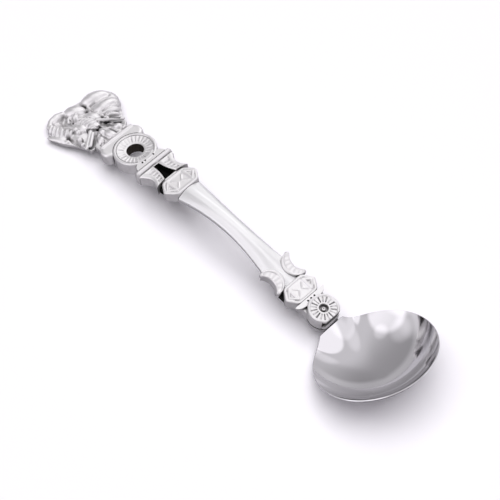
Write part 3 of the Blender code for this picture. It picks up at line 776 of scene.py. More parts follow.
class SPOON_OT_collars(bpy.types.Operator):
    """Casts both hexagonal collars with ridged triangles on their sunk panels"""

    bl_idname = "spoon.collars"
    bl_label = "Cast Collars"

    UPPER_HALVES = (3.4, 5.4)
    LOWER_HALVES = (2.9, 4.9)
    UPPER_SCALE = 1.0
    LOWER_SCALE = 0.9
    CORNER = 0.8
    EDGE = 0.3
    BORDER = 0.3
    PANEL_SLOPE = 0.12
    PANEL_DEPTH = 0.2
    # Radii of the triangle's ridges and of the chevron's
    RIDGE = 0.36
    MARK = 0.14
    FLANGE = 0.65
    FLANGE_HALF = 2.9
    FLANGE_TOP = 0.5
    SKIN = 0.08
    GROUND_TOP = -0.4
    UPPER_GROUND = (-4.2, 3.2)
    LOWER_GROUND = (-4.1, 3.2)
    # Ridges on one half of a panel, from its middle: triangle at the point, chevron beside it
    TRIANGLE = ((-1.75, 2.5), (0.0, 4.15), (1.75, 2.5), (-1.75, 2.5))
    CHEVRON = ((-1.3, 1.6), (0.0, 0.45), (1.3, 1.6))

    def execute(self, context):
        rear = UPPER_COLLAR_REAR + self.FLANGE
        ends = (rear, UPPER_COLLAR_FRONT)
        bm = self.collar(ends, self.UPPER_HALVES, (REAR_BACK, REAR_TOP), self.UPPER_SCALE)
        low = (UPPER_COLLAR_REAR, -self.FLANGE_HALF, REAR_BACK)
        high = (rear + self.BORDER, self.FLANGE_HALF, self.FLANGE_TOP)
        bm = joined(bm, block(low, high))
        bm = joined(bm, self.ground(ends, self.UPPER_GROUND, REAR_BACK))
        cast_piece(context, "faceted_upper_collar", bm, "upper_collar", REAR_RUN, slot_black())
        ends = (LOWER_COLLAR_REAR, LOWER_COLLAR_FRONT)
        bm = self.collar(ends, self.LOWER_HALVES, (FRONT_BACK, FRONT_TOP), self.LOWER_SCALE)
        bm = joined(bm, self.ground(ends, self.LOWER_GROUND, FRONT_BACK))
        cast_piece(context, "faceted_lower_collar", bm, "lower_collar", FRONT_RUN, slot_black())
        return {"FINISHED"}

    def ground(self, ends, sides, bottom):
        """Near-black block that shows in the notches behind the collar's slanted sides."""
        right, left = sides
        bm = block((ends[0], right, bottom), (sum(ends) / 2, left, self.GROUND_TOP))
        blacken(bm, lambda middle: middle.z > bottom + TOUCH)
        return bm

    def collar(self, ends, halves, levels, scale):
        """One collar: rounded border round a sunk panel with its ridges."""
        bottom, top = levels
        bm = prism(rounded(hexagon(*ends, *halves), self.CORNER, steps=5), bottom, top)
        bevel(bm, top_face(bm).edges[:], self.EDGE, segments=4)
        lid = top_face(bm)
        bmesh.ops.inset_region(bm, faces=[lid], thickness=self.BORDER, depth=0.0)
        bmesh.ops.inset_region(bm, faces=[lid], thickness=self.PANEL_SLOPE, depth=-self.PANEL_DEPTH)
        middle = sum(ends) / 2
        floor = top - self.PANEL_DEPTH
        for side in (-1, 1):
            for line, radius in ((self.TRIANGLE, self.RIDGE), (self.CHEVRON, self.MARK)):
                add_rod(bm, [(middle + scale * x, side * scale * y, floor) for x, y in line], radius)
        return cast_together(bm, self.SKIN)


def fluted_band(inner_edge, outer_edge, levels, flutes, panel, depths):
    """Plate between two edges: raised rim, sunk fluted panel, and a margin that rolls over."""
    bottom, top = levels
    start, end = panel
    sunk_depth, flute_depth, roll_depth = depths
    bm = bmesh.new()
    bmesh.ops.create_grid(bm, x_segments=FLUTE_FACES * flutes, y_segments=BAND_FACES, size=0.5)
    for vert in bm.verts:
        along = vert.co.x + 0.5
        across = vert.co.y + 0.5
        spot = Vector(inner_edge(along)).lerp(Vector(outer_edge(along)), across)
        sunk = smooth_step(start, start + BAND_SLOPE, across)
        sunk *= smooth_step(end, end - BAND_SLOPE, across)
        sunk *= smooth_step(*BAND_ENDS, along) * smooth_step(*BAND_ENDS, 1 - along)
        groove = (0.5 + 0.5 * math.cos(math.tau * flutes * along)) ** 2
        drop = sunk * (sunk_depth + flute_depth * groove)
        drop += roll_depth * max((INNER_ROLL - across) / INNER_ROLL, 0.0) ** 2
        drop += roll_depth * max((across - 1 + OUTER_ROLL) / OUTER_ROLL, 0.0) ** 2
        vert.co = (spot.x, spot.y, top - drop)
    thicken(bm, bottom)
    return bm


class SPOON_OT_crescents(bpy.types.Operator):
    """Casts the fluted crescents on both sides of the stem's front end"""

    bl_idname = "spoon.crescents"
    bl_label = "Cast Crescents"

    RADIUS = 3.25
    HOLLOW_RADIUS = 3.3
    WIDTH = 2.8
    FROM_AXIS = 0.6
    BEFORE_COLLAR = 3.0
    TIP_SHARE = 0.76
    TOP = 1.0
    FLUTES = 7
    PANEL = (0.26, 0.9)
    DEPTHS = (0.16, 0.05, 0.4)
    BULB = 0.6
    SKIN = 0.07

    def execute(self, context):
        for name, side in (("left", 1), ("right", -1)):
            node = "crescent_" + name
            cast_piece(context, "rimmed_" + node, self.crescent(side), node, STEM_END_RUN)
        return {"FINISHED"}

    def crescent(self, side):
        """One crescent: fluted band between two arcs, with a round bulb at each tip."""
        centre = Vector((-self.BEFORE_COLLAR, side * (self.FROM_AXIS + self.RADIUS), 0.0))
        apart = self.WIDTH - self.RADIUS + self.HOLLOW_RADIUS
        along = (self.RADIUS**2 - self.HOLLOW_RADIUS**2 + apart**2) / (2 * apart)
        reach = math.acos(-along / self.RADIUS) * self.TIP_SHARE
        half_chord = math.sqrt(self.RADIUS**2 - along**2)
        hollow_reach = math.asin(half_chord / self.HOLLOW_RADIUS) * self.TIP_SHARE

        def convex(share):
            angle = reach * (2 * share - 1)
            return centre + self.RADIUS * Vector((math.sin(angle), -side * math.cos(angle), 0.0))

        def hollow(share):
            angle = hollow_reach * (2 * share - 1)
            x = self.HOLLOW_RADIUS * math.sin(angle)
            y = side * (apart - self.HOLLOW_RADIUS * math.cos(angle))
            return centre + Vector((x, y, 0.0))

        levels = (-STEM_FRONT_DEPTH, self.TOP)
        bm = fluted_band(convex, hollow, levels, self.FLUTES, self.PANEL, self.DEPTHS)
        for end in (0.0, 1.0):
            tip = (convex(end) + hollow(end)) / 2
            tip.z = self.TOP - self.BULB
            add_rod(bm, (tip, tip - Vector((0.0, 0.0, self.BULB))), self.BULB)
        return cast_together(bm, self.SKIN)


class SPOON_OT_brackets(bpy.types.Operator):
    """Casts the fluted brackets beside the slot, whose floor and sides are blackened"""

    bl_idname = "spoon.brackets"
    bl_label = "Cast Brackets"

    ROLL_INNER = 0.8
    COLLAR_INNER = 1.8
    ROLL_OUTER = 5.4
    COLLAR_OUTER = 5.0
    COLLAR_HOOK = 0.7
    WAIST = 1.25
    FLUTES = 5
    PANEL = (0.2, 0.68)
    DEPTHS = (0.14, 0.28, 0.3)
    SLOT_FLOOR = 0.6
    # Black sides of the slot: how far below the top they start, and their depth into the bracket
    BLACK_BELOW = 0.5
    BLACK_WITHIN = 0.05

    def execute(self, context):
        for name, side in (("left", 1), ("right", -1)):
            node = "bracket_" + name
            cast_piece(context, "fluted_" + node, self.bracket(side), node, REAR_RUN, slot_black())
        return {"FINISHED"}

    def bracket(self, side):
        """One waisted bracket with its half of the slot's floor."""
        length = BRACKET_FRONT - BRACKET_REAR

        def inner(share):
            y = self.ROLL_INNER + (self.COLLAR_INNER - self.ROLL_INNER) * share**2
            return (BRACKET_REAR + length * share, side * y, 0.0)

        def outer(share):
            y = self.ROLL_OUTER + (self.COLLAR_OUTER - self.ROLL_OUTER) * share
            y -= self.WAIST * math.sin(math.pi * share)
            return (BRACKET_REAR + (length + self.COLLAR_HOOK) * share, side * y, 0.0)

        def beside_slot(middle):
            share = min(max((middle.x - BRACKET_REAR) / length, 0.0), 1.0)
            beside = abs(middle.y) - inner(share)[1] * side
            return middle.z < REAR_TOP - self.BLACK_BELOW and beside < self.BLACK_WITHIN

        levels = (REAR_BACK, REAR_TOP)
        bm = fluted_band(inner, outer, levels, self.FLUTES, self.PANEL, self.DEPTHS)
        blacken(bm, beside_slot)
        edge = side * self.COLLAR_INNER
        low = (BRACKET_REAR, min(0.0, edge), REAR_BACK)
        floor = block(low, (BRACKET_FRONT, max(0.0, edge), REAR_BACK + self.SLOT_FLOOR))
        blacken(floor, lambda middle: True)
        return joined(bm, floor)


class SPOON_OT_cross_roll(bpy.types.Operator):
    """Casts the bar across the handle: a high rounded roll with a thin ridge in front"""

    bl_idname = "spoon.cross_roll"
    bl_label = "Cast Cross Roll"

    HALF_LENGTH = 5.5
    TOP = 1.75
    GROOVE_SHARE = 0.82
    THICK_HEIGHT = 0.95
    THIN_HEIGHT = 0.12
    END_SHARE = 0.1
    END_DROP = 0.6

    def execute(self, context):
        bm = bmesh.new()
        bmesh.ops.create_grid(bm, x_segments=32, y_segments=48, size=0.5)
        for vert in bm.verts:
            share = vert.co.x + 0.5
            across = 2 * vert.co.y
            if share < self.GROOVE_SHARE:
                side = 2 * share / self.GROOVE_SHARE - 1
                top, height = self.TOP, self.THICK_HEIGHT
            else:
                side = 2 * (share - self.GROOVE_SHARE) / (1 - self.GROOVE_SHARE) - 1
                top, height = self.TOP - self.THICK_HEIGHT + self.THIN_HEIGHT, self.THIN_HEIGHT
            z = top - height * (1 - math.sqrt(max(1 - side**2, 0.0)))
            z -= self.END_DROP * max((abs(across) - 1 + self.END_SHARE) / self.END_SHARE, 0.0) ** 2
            x = ROLL_REAR + (ROLL_FRONT - ROLL_REAR) * share
            vert.co = (x, self.HALF_LENGTH * across, z)
        thicken(bm, REAR_BACK)
        groove = self.TOP - self.THICK_HEIGHT
        blacken(bm, lambda middle: middle.x > ROLL_FRONT - TOUCH and middle.z < groove)
        cast_piece(context, "ridged_cross_roll", bm, "cross_roll", REAR_RUN, slot_black())
        return {"FINISHED"}


def lug(centre_x, toward, radius, length, half, levels):
    """Flared plate with hollow sides, from a round boss to the face it meets."""
    waist = radius * math.sin(math.radians(LUG_WAIST))
    side = []
    for step in range(LUG_STEPS):
        angle = math.pi / 2 * step / LUG_STEPS
        x = centre_x + toward * (length - (length - radius) * math.sin(angle))
        side.append((x, half - (half - waist) * (1 - math.cos(angle))))
    boss = arc((0.0, 0.0), radius, LUG_WAIST, -LUG_WAIST, steps=8)
    inner = [(centre_x + toward * x, y) for x, y in boss]
    return prism(side + inner + [(x, -y) for x, y in reversed(side)], *levels)


def drill_dots(bm, at_x, places, top):
    """Drills a row of blind dots across the handle and blackens them."""
    drills = bmesh.new()
    for place in places:
        middle = Matrix.Translation((at_x, place, top))
        add_cylinder(drills, middle, DOT_RADIUS, 2 * DOT_DEPTH, segments=12)

    def in_dot(middle):
        beside = min(math.hypot(middle.x - at_x, middle.y - place) for place in places)
        return beside < DOT_RADIUS and top - DOT_DEPTH - TOUCH < middle.z < top - TOUCH

    bm = carve(bm, drills)
    blacken(bm, in_dot)
    return bm


class SPOON_OT_ring(bpy.types.Operator):
    """Turns the dished ring, strokes its face and joins its lug"""

    bl_idname = "spoon.ring"
    bl_label = "Turn Ring"

    STEPS = 312
    LUG_TOP = 1.45
    LUG_RADIUS = 4.2
    LUG_HALF = 4.4
    EYE_RADIUS = 2.15
    STROKE_RADII = (2.85, 4.3)
    STROKE_DEPTHS = (0.24, 0.08, 0.16, 0.12, 0.2, 0.06, 0.14)
    DOTS_AT = 4.85
    DOT_PLACES = (-1.95, -1.05, 1.6)
    # Radius and height, from the back of the eye round the outside to the eye's upper edge
    PROFILE = (
        (2.15, -1.8), (5.4, -1.8), (5.4, 1.1), (5.35, 1.35), (5.22, 1.5), (5.0, 1.56),
        (4.78, 1.54), (4.68, 1.44), (4.62, 1.27), (4.52, 1.27), (4.44, 1.36), (4.1, 1.32),
        (3.8, 1.26), (3.5, 1.2), (3.2, 1.14), (2.95, 1.09), (2.75, 1.06), (2.5, 1.04),
        (2.28, 1.0), (2.18, 0.94), (2.15, 0.84),
    )

    def execute(self, context):
        sizes = context.scene.spoon_sizes
        bm = spun(self.PROFILE, self.STEPS, RING_AT)
        cut_strokes(bm, RING_AT, self.STROKE_RADII, sizes.ring_flutes, self.STROKE_DEPTHS)
        length = RING_LUG_END - RING_AT
        levels = (REAR_BACK, self.LUG_TOP)
        plate = lug(RING_AT, 1.0, self.LUG_RADIUS, length, self.LUG_HALF, levels)
        bm = carve(bm, plate, "UNION")
        bm = drill_dots(bm, RING_AT + self.DOTS_AT, self.DOT_PLACES, self.LUG_TOP)
        blacken(bm, lambda middle: math.hypot(middle.x - RING_AT, middle.y) < self.EYE_RADIUS)
        cast_piece(context, "fluted_ring", bm, "ring", REAR_RUN, bore_black())
        return {"FINISHED"}


class SPOON_OT_saddle(bpy.types.Operator):
    """Casts the saddle that fits round the back of the ring"""

    bl_idname = "spoon.saddle"
    bl_label = "Cast Saddle"

    BACK = 7.1
    FRONT = 2.7
    HALF_LENGTH = 6.3
    TOP = 1.4
    ROUNDING = 0.8
    RING_CLEARANCE = 5.45
    RIDGE = 0.45
    RIDGE_RISE = 0.3
    RIDGE_HALF = 4.7
    HOLLOW_HEIGHT = 20.0
    SKIN = 0.1

    def execute(self, context):
        corner = (self.BACK - self.FRONT) / 2
        middle = RING_AT - self.BACK + corner
        straight = self.HALF_LENGTH - corner
        outline = arc((middle, straight), corner, 180.0, 0.0, steps=20)
        outline += arc((middle, -straight), corner, 0.0, -180.0, steps=20)
        bm = prism(outline, REAR_BACK, self.TOP)
        bevel(bm, top_face(bm).edges[:], self.ROUNDING, segments=6)
        x = RING_AT - self.BACK + self.RIDGE
        z = self.TOP + self.RIDGE_RISE - self.RIDGE
        add_rod(bm, ((x, -self.RIDGE_HALF, z), (x, self.RIDGE_HALF, z)), self.RIDGE)
        bm = cast_together(bm, self.SKIN)
        hollow = bmesh.new()
        ring_axis = Matrix.Translation((RING_AT, 0.0, 0.0))
        add_cylinder(hollow, ring_axis, self.RING_CLEARANCE, self.HOLLOW_HEIGHT, segments=120)
        cast_piece(context, "hollowed_saddle", carve(bm, hollow), "saddle", REAR_RUN)
        return {"FINISHED"}


class SPOON_OT_rosette(bpy.types.Operator):
    """Turns the rayed rosette with its flat front, its lug and its pin"""

    bl_idname = "spoon.rosette"
    bl_label = "Turn Rosette"

    STEPS = 288
    PIN_STEPS = 48
    LUG_TOP = 1.4
    LUG_PLATE = 0.8
    LUG_RADIUS = 3.2
    LUG_HALF = 4.6
    STROKE_RADII = (1.6, 3.02)
    STROKE_DEPTHS = (0.3, 0.16, 0.24, 0.2)
    DOTS_AT = -3.95
    DOT_PLACES = (-1.05, 0.0, 1.05)
    RECESS = (-0.2, 1.45)
    RECESS_DEPTH = 0.6
    GROUND_FRONT = -1.6
    GROUND_HALF = 3.3
    GROUND_TOP = 0.6
    # Length past the rosette of the blocks that cut its front
    REACH = 9.0
    # Radius and height, from the back of the bore round the outside to the floor round the pin
    PROFILE = (
        (0.45, -2.6), (3.75, -2.6), (3.75, -1.7), (3.4, -1.65), (3.4, -1.35), (3.75, -1.3),
        (3.75, 1.8), (3.66, 2.0), (3.5, 2.08), (3.3, 2.06), (3.16, 1.98), (3.08, 1.88),
        (2.95, 1.88), (2.6, 1.9), (2.2, 1.92), (1.8, 1.94), (1.62, 1.96), (1.5, 2.02),
        (1.3, 2.04), (1.15, 1.96), (1.05, 1.7), (0.95, 1.1), (0.45, 1.1),
    )
    PIN_PROFILE = (
        (0.0, -2.5), (0.55, -2.5), (0.55, 1.45), (0.45, 1.62), (0.3, 1.7), (0.16, 1.66),
        (0.1, 1.5), (0.0, 1.48),
    )

    def execute(self, context):
        sizes = context.scene.spoon_sizes
        bm = spun(self.PROFILE, self.STEPS, ROSETTE_AT)
        cut_strokes(bm, ROSETTE_AT, self.STROKE_RADII, sizes.rosette_rays, self.STROKE_DEPTHS)
        length = ROSETTE_AT - ROSETTE_LUG_END
        levels = (self.LUG_TOP - self.LUG_PLATE, self.LUG_TOP)
        plate = lug(ROSETTE_AT, -1.0, self.LUG_RADIUS, length, self.LUG_HALF, levels)
        bm = carve(bm, plate, "UNION")
        front = ROSETTE_AT + ROSETTE_FRONT
        back = front - self.RECESS_DEPTH
        reach = self.REACH
        bm = carve(bm, block((front, -reach, -reach), (front + reach, reach, reach)))
        low, high = self.RECESS
        bm = carve(bm, block((back, -reach, low), (front + reach, reach, high)))
        blacken(bm, lambda spot: back - TOUCH < spot.x < front - TOUCH and low < spot.z < high)
        bm = drill_dots(bm, ROSETTE_AT + self.DOTS_AT, self.DOT_PLACES, self.LUG_TOP)
        ground = block(
            (ROSETTE_LUG_END, -self.GROUND_HALF, FRONT_BACK),
            (ROSETTE_AT + self.GROUND_FRONT, self.GROUND_HALF, self.GROUND_TOP),
        )
        bm = joined(bm, ground)
        cast_piece(context, "rayed_rosette", bm, "rosette", FRONT_RUN, bore_black())
        pin = spun(self.PIN_PROFILE, self.PIN_STEPS, ROSETTE_AT)
        bmesh.ops.remove_doubles(pin, verts=pin.verts[:], dist=WELD)
        cast_piece(context, "domed_pin", pin, "rosette_pin", FRONT_RUN)
        return {"FINISHED"}


def from_ring(points):
    """Points counted from the centre of the ring, moved to the rear run."""
    return [(RING_AT + x, *rest) for x, *rest in points]


def add_shell(bm, x, y, half_length, half_width, top, heading):
    """Rounded mass of the relief, half sunk in its floor."""
    place = Matrix.Translation((RING_AT + x, y, SHELL_FLOOR))
    turn = Matrix.Rotation(math.radians(heading), 4, "Z")
    size = Matrix.Diagonal((half_length, half_width, top - SHELL_FLOOR, 1.0))
    bmesh.ops.create_uvsphere(
        bm, u_segments=SHELL_SIDES, v_segments=SHELL_RINGS, radius=1.0, matrix=place @ turn @ size
    )


def press_line(bm, points, radius, depth):
    """Presses a soft groove into the upward skin along a plan line."""
    spots = [Vector(spot) for spot in from_ring(points)]
    for vert in bm.verts:
        if vert.normal.z < UPWARD:
            continue
        here = vert.co.to_2d()
        nearest = radius
        for start, end in zip(spots, spots[1:]):
            leg = end - start
            share = min(max((here - start).dot(leg) / leg.length_squared, 0.0), 1.0)
            nearest = min(nearest, (here - start - leg * share).length)
        vert.co.z -= depth * (1 - (nearest / radius) ** 2) ** 2


def press_creases(bm, creases):
    """Presses every crease into what was the upward skin before the first."""
    bm.normal_update()
    for line, radius, depth in creases:
        press_line(bm, line, radius, depth)


def flat_backed(bm):
    """Cuts the back of the finial flat."""
    length, half, depth = TRIM
    return carve(bm, block((RING_AT - length, -half, -depth), (RING_AT, half, FINIAL_BACK)))


class SPOON_OT_perch(bpy.types.Operator):
    """Casts the leafy foot of the finial"""

    bl_idname = "spoon.perch"
    bl_label = "Cast Perch"

    PLATE_TOP = 0.1
    # Masses: place, half length, half width, top and heading
    PADS = (
        (-9.5, 0.3, 2.1, 1.2, 1.1, 15.0),
        (-9.7, -2.6, 1.3, 1.1, 1.0, -30.0),
        (-7.9, -2.9, 1.1, 1.3, 1.1, 20.0),
        (-10.0, 3.3, 1.4, 1.1, 1.0, 40.0),
        (-8.3, 4.0, 0.9, 0.9, 1.1, 0.0),
        (-8.0, 2.0, 0.9, 1.1, 0.9, 0.0),
        (-7.6, -0.4, 0.8, 1.2, 0.8, 0.0),
        (-11.7, -0.5, 1.3, 1.0, 0.8, 0.0),
    )
    CREASES = (
        (((-8.7, -2.2), (-7.2, -3.8)), 0.25, 0.35),
        (((-8.7, -3.7), (-7.2, -2.3)), 0.25, 0.35),
        (((-11.2, 1.6), (-8.6, 1.7)), 0.4, 0.5),
        (((-11.2, -1.5), (-8.4, -1.2)), 0.4, 0.4),
    )

    def execute(self, context):
        bm = prism(from_ring(PERCH_OUTLINE), FINIAL_BACK, self.PLATE_TOP)
        for pad in self.PADS:
            add_shell(bm, *pad)
        bm = cast_together(bm, context.scene.spoon_sizes.feather_grain / MM, FEATHER_ROUNDS)
        bm = flat_backed(bm)
        press_creases(bm, self.CREASES)
        cast_piece(
            context, "leafy_perch", bm, "perch", REAR_RUN, smooth_angle=FEATHER_SMOOTH_ANGLE
        )
        return {"FINISHED"}


class SPOON_OT_eagle(bpy.types.Operator):
    """Casts the bird with its raised wings, feathers, head and legs"""

    bl_idname = "spoon.eagle"
    bl_label = "Cast Bird"

    OUTLINE = (
        (-9.6, 5.0), (-11.5, 6.3), (-14.4, 8.1), (-17.0, 9.8), (-19.8, 10.0), (-23.0, 9.4),
        (-24.6, 7.0), (-24.3, 4.0), (-24.8, 1.2), (-24.9, -1.4), (-25.5, -3.4), (-24.7, -6.2),
        (-22.6, -8.8), (-19.6, -9.6), (-16.6, -8.8), (-14.0, -7.4), (-10.8, -6.2), (-9.4, -5.2),
    )
    PLATE_TOP = -0.5
    # Masses: place, half length, half width, top and heading
    GROUND = (
        (-20.2, -7.0, 3.6, 2.2, 0.4, -30.0),
        (-19.2, 6.3, 4.3, 4.0, 1.7, 72.0),
        (-17.6, -1.2, 6.0, 3.2, 0.6, 20.0),
        (-15.2, -5.0, 2.8, 2.2, 0.1, 20.0),
    )
    FAR_WING = (
        (-21.4, 6.1, 4.1, 2.2, 2.1, 66.0),
        (-17.3, 5.8, 4.0, 2.4, 2.1, 78.0),
        (-15.2, 5.3, 3.0, 0.9, 1.5, 68.0),
        (-14.0, 4.9, 2.3, 0.6, 1.1, 60.0),
        (-16.8, 2.7, 0.9, 0.6, 1.3, 30.0),
        (-15.3, 2.9, 0.8, 0.5, 1.3, 30.0),
        (-13.9, 3.3, 0.8, 0.5, 1.1, 40.0),
        (-19.1, 2.2, 0.7, 0.6, 1.9, 0.0),
    )
    BODY = (
        (-22.0, -0.3, 3.1, 2.1, 1.7, 47.0),
        (-19.7, -2.1, 1.6, 1.3, 2.0, 30.0),
        (-20.1, -1.3, 0.9, 0.45, 2.15, 20.0),
        (-16.1, -0.8, 3.6, 1.9, 1.75, 22.0),
        (-17.2, 1.3, 2.6, 1.5, 1.35, 20.0),
        (-16.6, -2.9, 2.2, 1.3, 1.1, 0.0),
        (-15.9, -4.5, 1.05, 0.95, 1.25, 0.0),
        (-14.0, -5.8, 1.0, 0.9, 0.95, 0.0),
        (-17.4, -4.2, 0.9, 0.7, 0.9, 0.0),
    )
    NEAR_WING = (
        (-22.4, -7.8, 1.5, 0.7, 1.0, -58.0),
        (-21.4, -7.7, 1.8, 0.72, 1.15, -56.0),
        (-20.3, -7.4, 1.9, 0.74, 1.2, -55.0),
        (-19.2, -6.9, 1.8, 0.7, 1.2, -52.0),
        (-18.2, -6.3, 1.5, 0.66, 1.15, -55.0),
        (-17.3, -5.7, 1.2, 0.6, 1.0, -60.0),
        (-18.8, -8.9, 3.0, 0.75, 0.1, 24.0),
        (-16.3, -7.9, 0.9, 0.6, 0.1, 35.0),
        (-12.4, -6.2, 0.9, 0.6, 0.4, 40.0),
        (-24.0, -4.9, 2.9, 1.2, 1.1, -84.0),
    )
    EDGE_RADIUS = 0.7
    LEADING_EDGE = ((-23.7, -2.9, 0.45), (-24.4, -4.4, 0.45), (-24.1, -6.3, 0.4), (-23.0, -7.9, 0.2))
    BEAK_RADIUS = 0.34
    BEAK = ((-20.9, -2.8, 1.3), (-20.5, -3.7, 1.2), (-19.7, -4.2, 1.0))
    ROD_RADIUS = 0.5
    RODS = (
        ((-15.0, 0.8, 1.1), (-10.6, 5.6, 0.7)),
        ((-13.8, -1.6, 1.0), (-10.9, 2.6, 0.8)),
        ((-13.3, -2.8, 0.9), (-10.5, -6.7, 0.1)),
        ((-12.5, -2.7, 0.8), (-10.2, -5.6, 0.4)),
    )
    # Creases pressed between the masses: plan line, half width and depth
    CREASES = (
        (((-20.3, 3.2), (-19.4, 5.6), (-19.1, 8.3)), 0.9, 0.5),
        (((-20.2, 3.3), (-19.7, 4.6)), 0.5, 0.4),
        (((-22.6, 4.6), (-22.0, 7.0)), 0.5, 0.2),
        (((-16.2, 4.0), (-15.8, 7.8)), 0.4, 0.4),
        (((-24.9, -2.0), (-24.3, -2.3)), 0.5, 0.6),
        (((-14.4, 2.0), (-11.1, 5.0)), 0.35, 0.7),
        (((-13.2, -0.6), (-10.6, 2.9)), 0.5, 1.1),
        (((-19.9, -2.8), (-19.3, -3.2)), 0.35, 0.6),
        (((-22.3, -3.4), (-21.2, -4.9)), 1.1, 0.8),
        (((-14.5, -2.4), (-14.2, -2.5)), 0.6, 1.5),
        (((-17.0, -7.0), (-13.0, -6.9)), 0.6, 0.6),
        (((-18.3, -1.9), (-17.9, 0.0)), 0.3, 0.3),
        (((-17.5, -2.2), (-17.0, 0.3)), 0.3, 0.3),
        (((-16.7, -2.2), (-16.1, 0.5)), 0.3, 0.3),
        (((-15.9, -2.1), (-15.2, 0.6)), 0.3, 0.3),
        (((-15.0, -1.8), (-14.4, 0.6)), 0.3, 0.3),
    )

    def execute(self, context):
        bm = prism(smooth_outline(from_ring(self.OUTLINE), steps=6), FINIAL_BACK, self.PLATE_TOP)
        for shell in self.GROUND + self.FAR_WING + self.BODY + self.NEAR_WING:
            add_shell(bm, *shell)
        add_rod(bm, from_ring(self.LEADING_EDGE), self.EDGE_RADIUS)
        add_rod(bm, from_ring(self.BEAK), self.BEAK_RADIUS)
        for rod in self.RODS:
            add_rod(bm, from_ring(rod), self.ROD_RADIUS)
        bm = cast_together(bm, context.scene.spoon_sizes.feather_grain / MM, FEATHER_ROUNDS)
        bm = flat_backed(bm)
        _, half, depth = TRIM
        heel = block((-depth, -half, -depth), (0.0, half, 0.0))
        heel.transform(run((RING_AT + HEEL_AT, 0.0, FINIAL_BACK), -HEEL_ANGLE))
        bm = carve(bm, heel)
        bm = carve(bm, prism(from_ring(PERCH_OUTLINE), -depth, depth))
        press_creases(bm, self.CREASES)
        cast_piece(context, "cast_eagle", bm, "eagle", REAR_RUN, smooth_angle=FEATHER_SMOOTH_ANGLE)
        return {"FINISHED"}


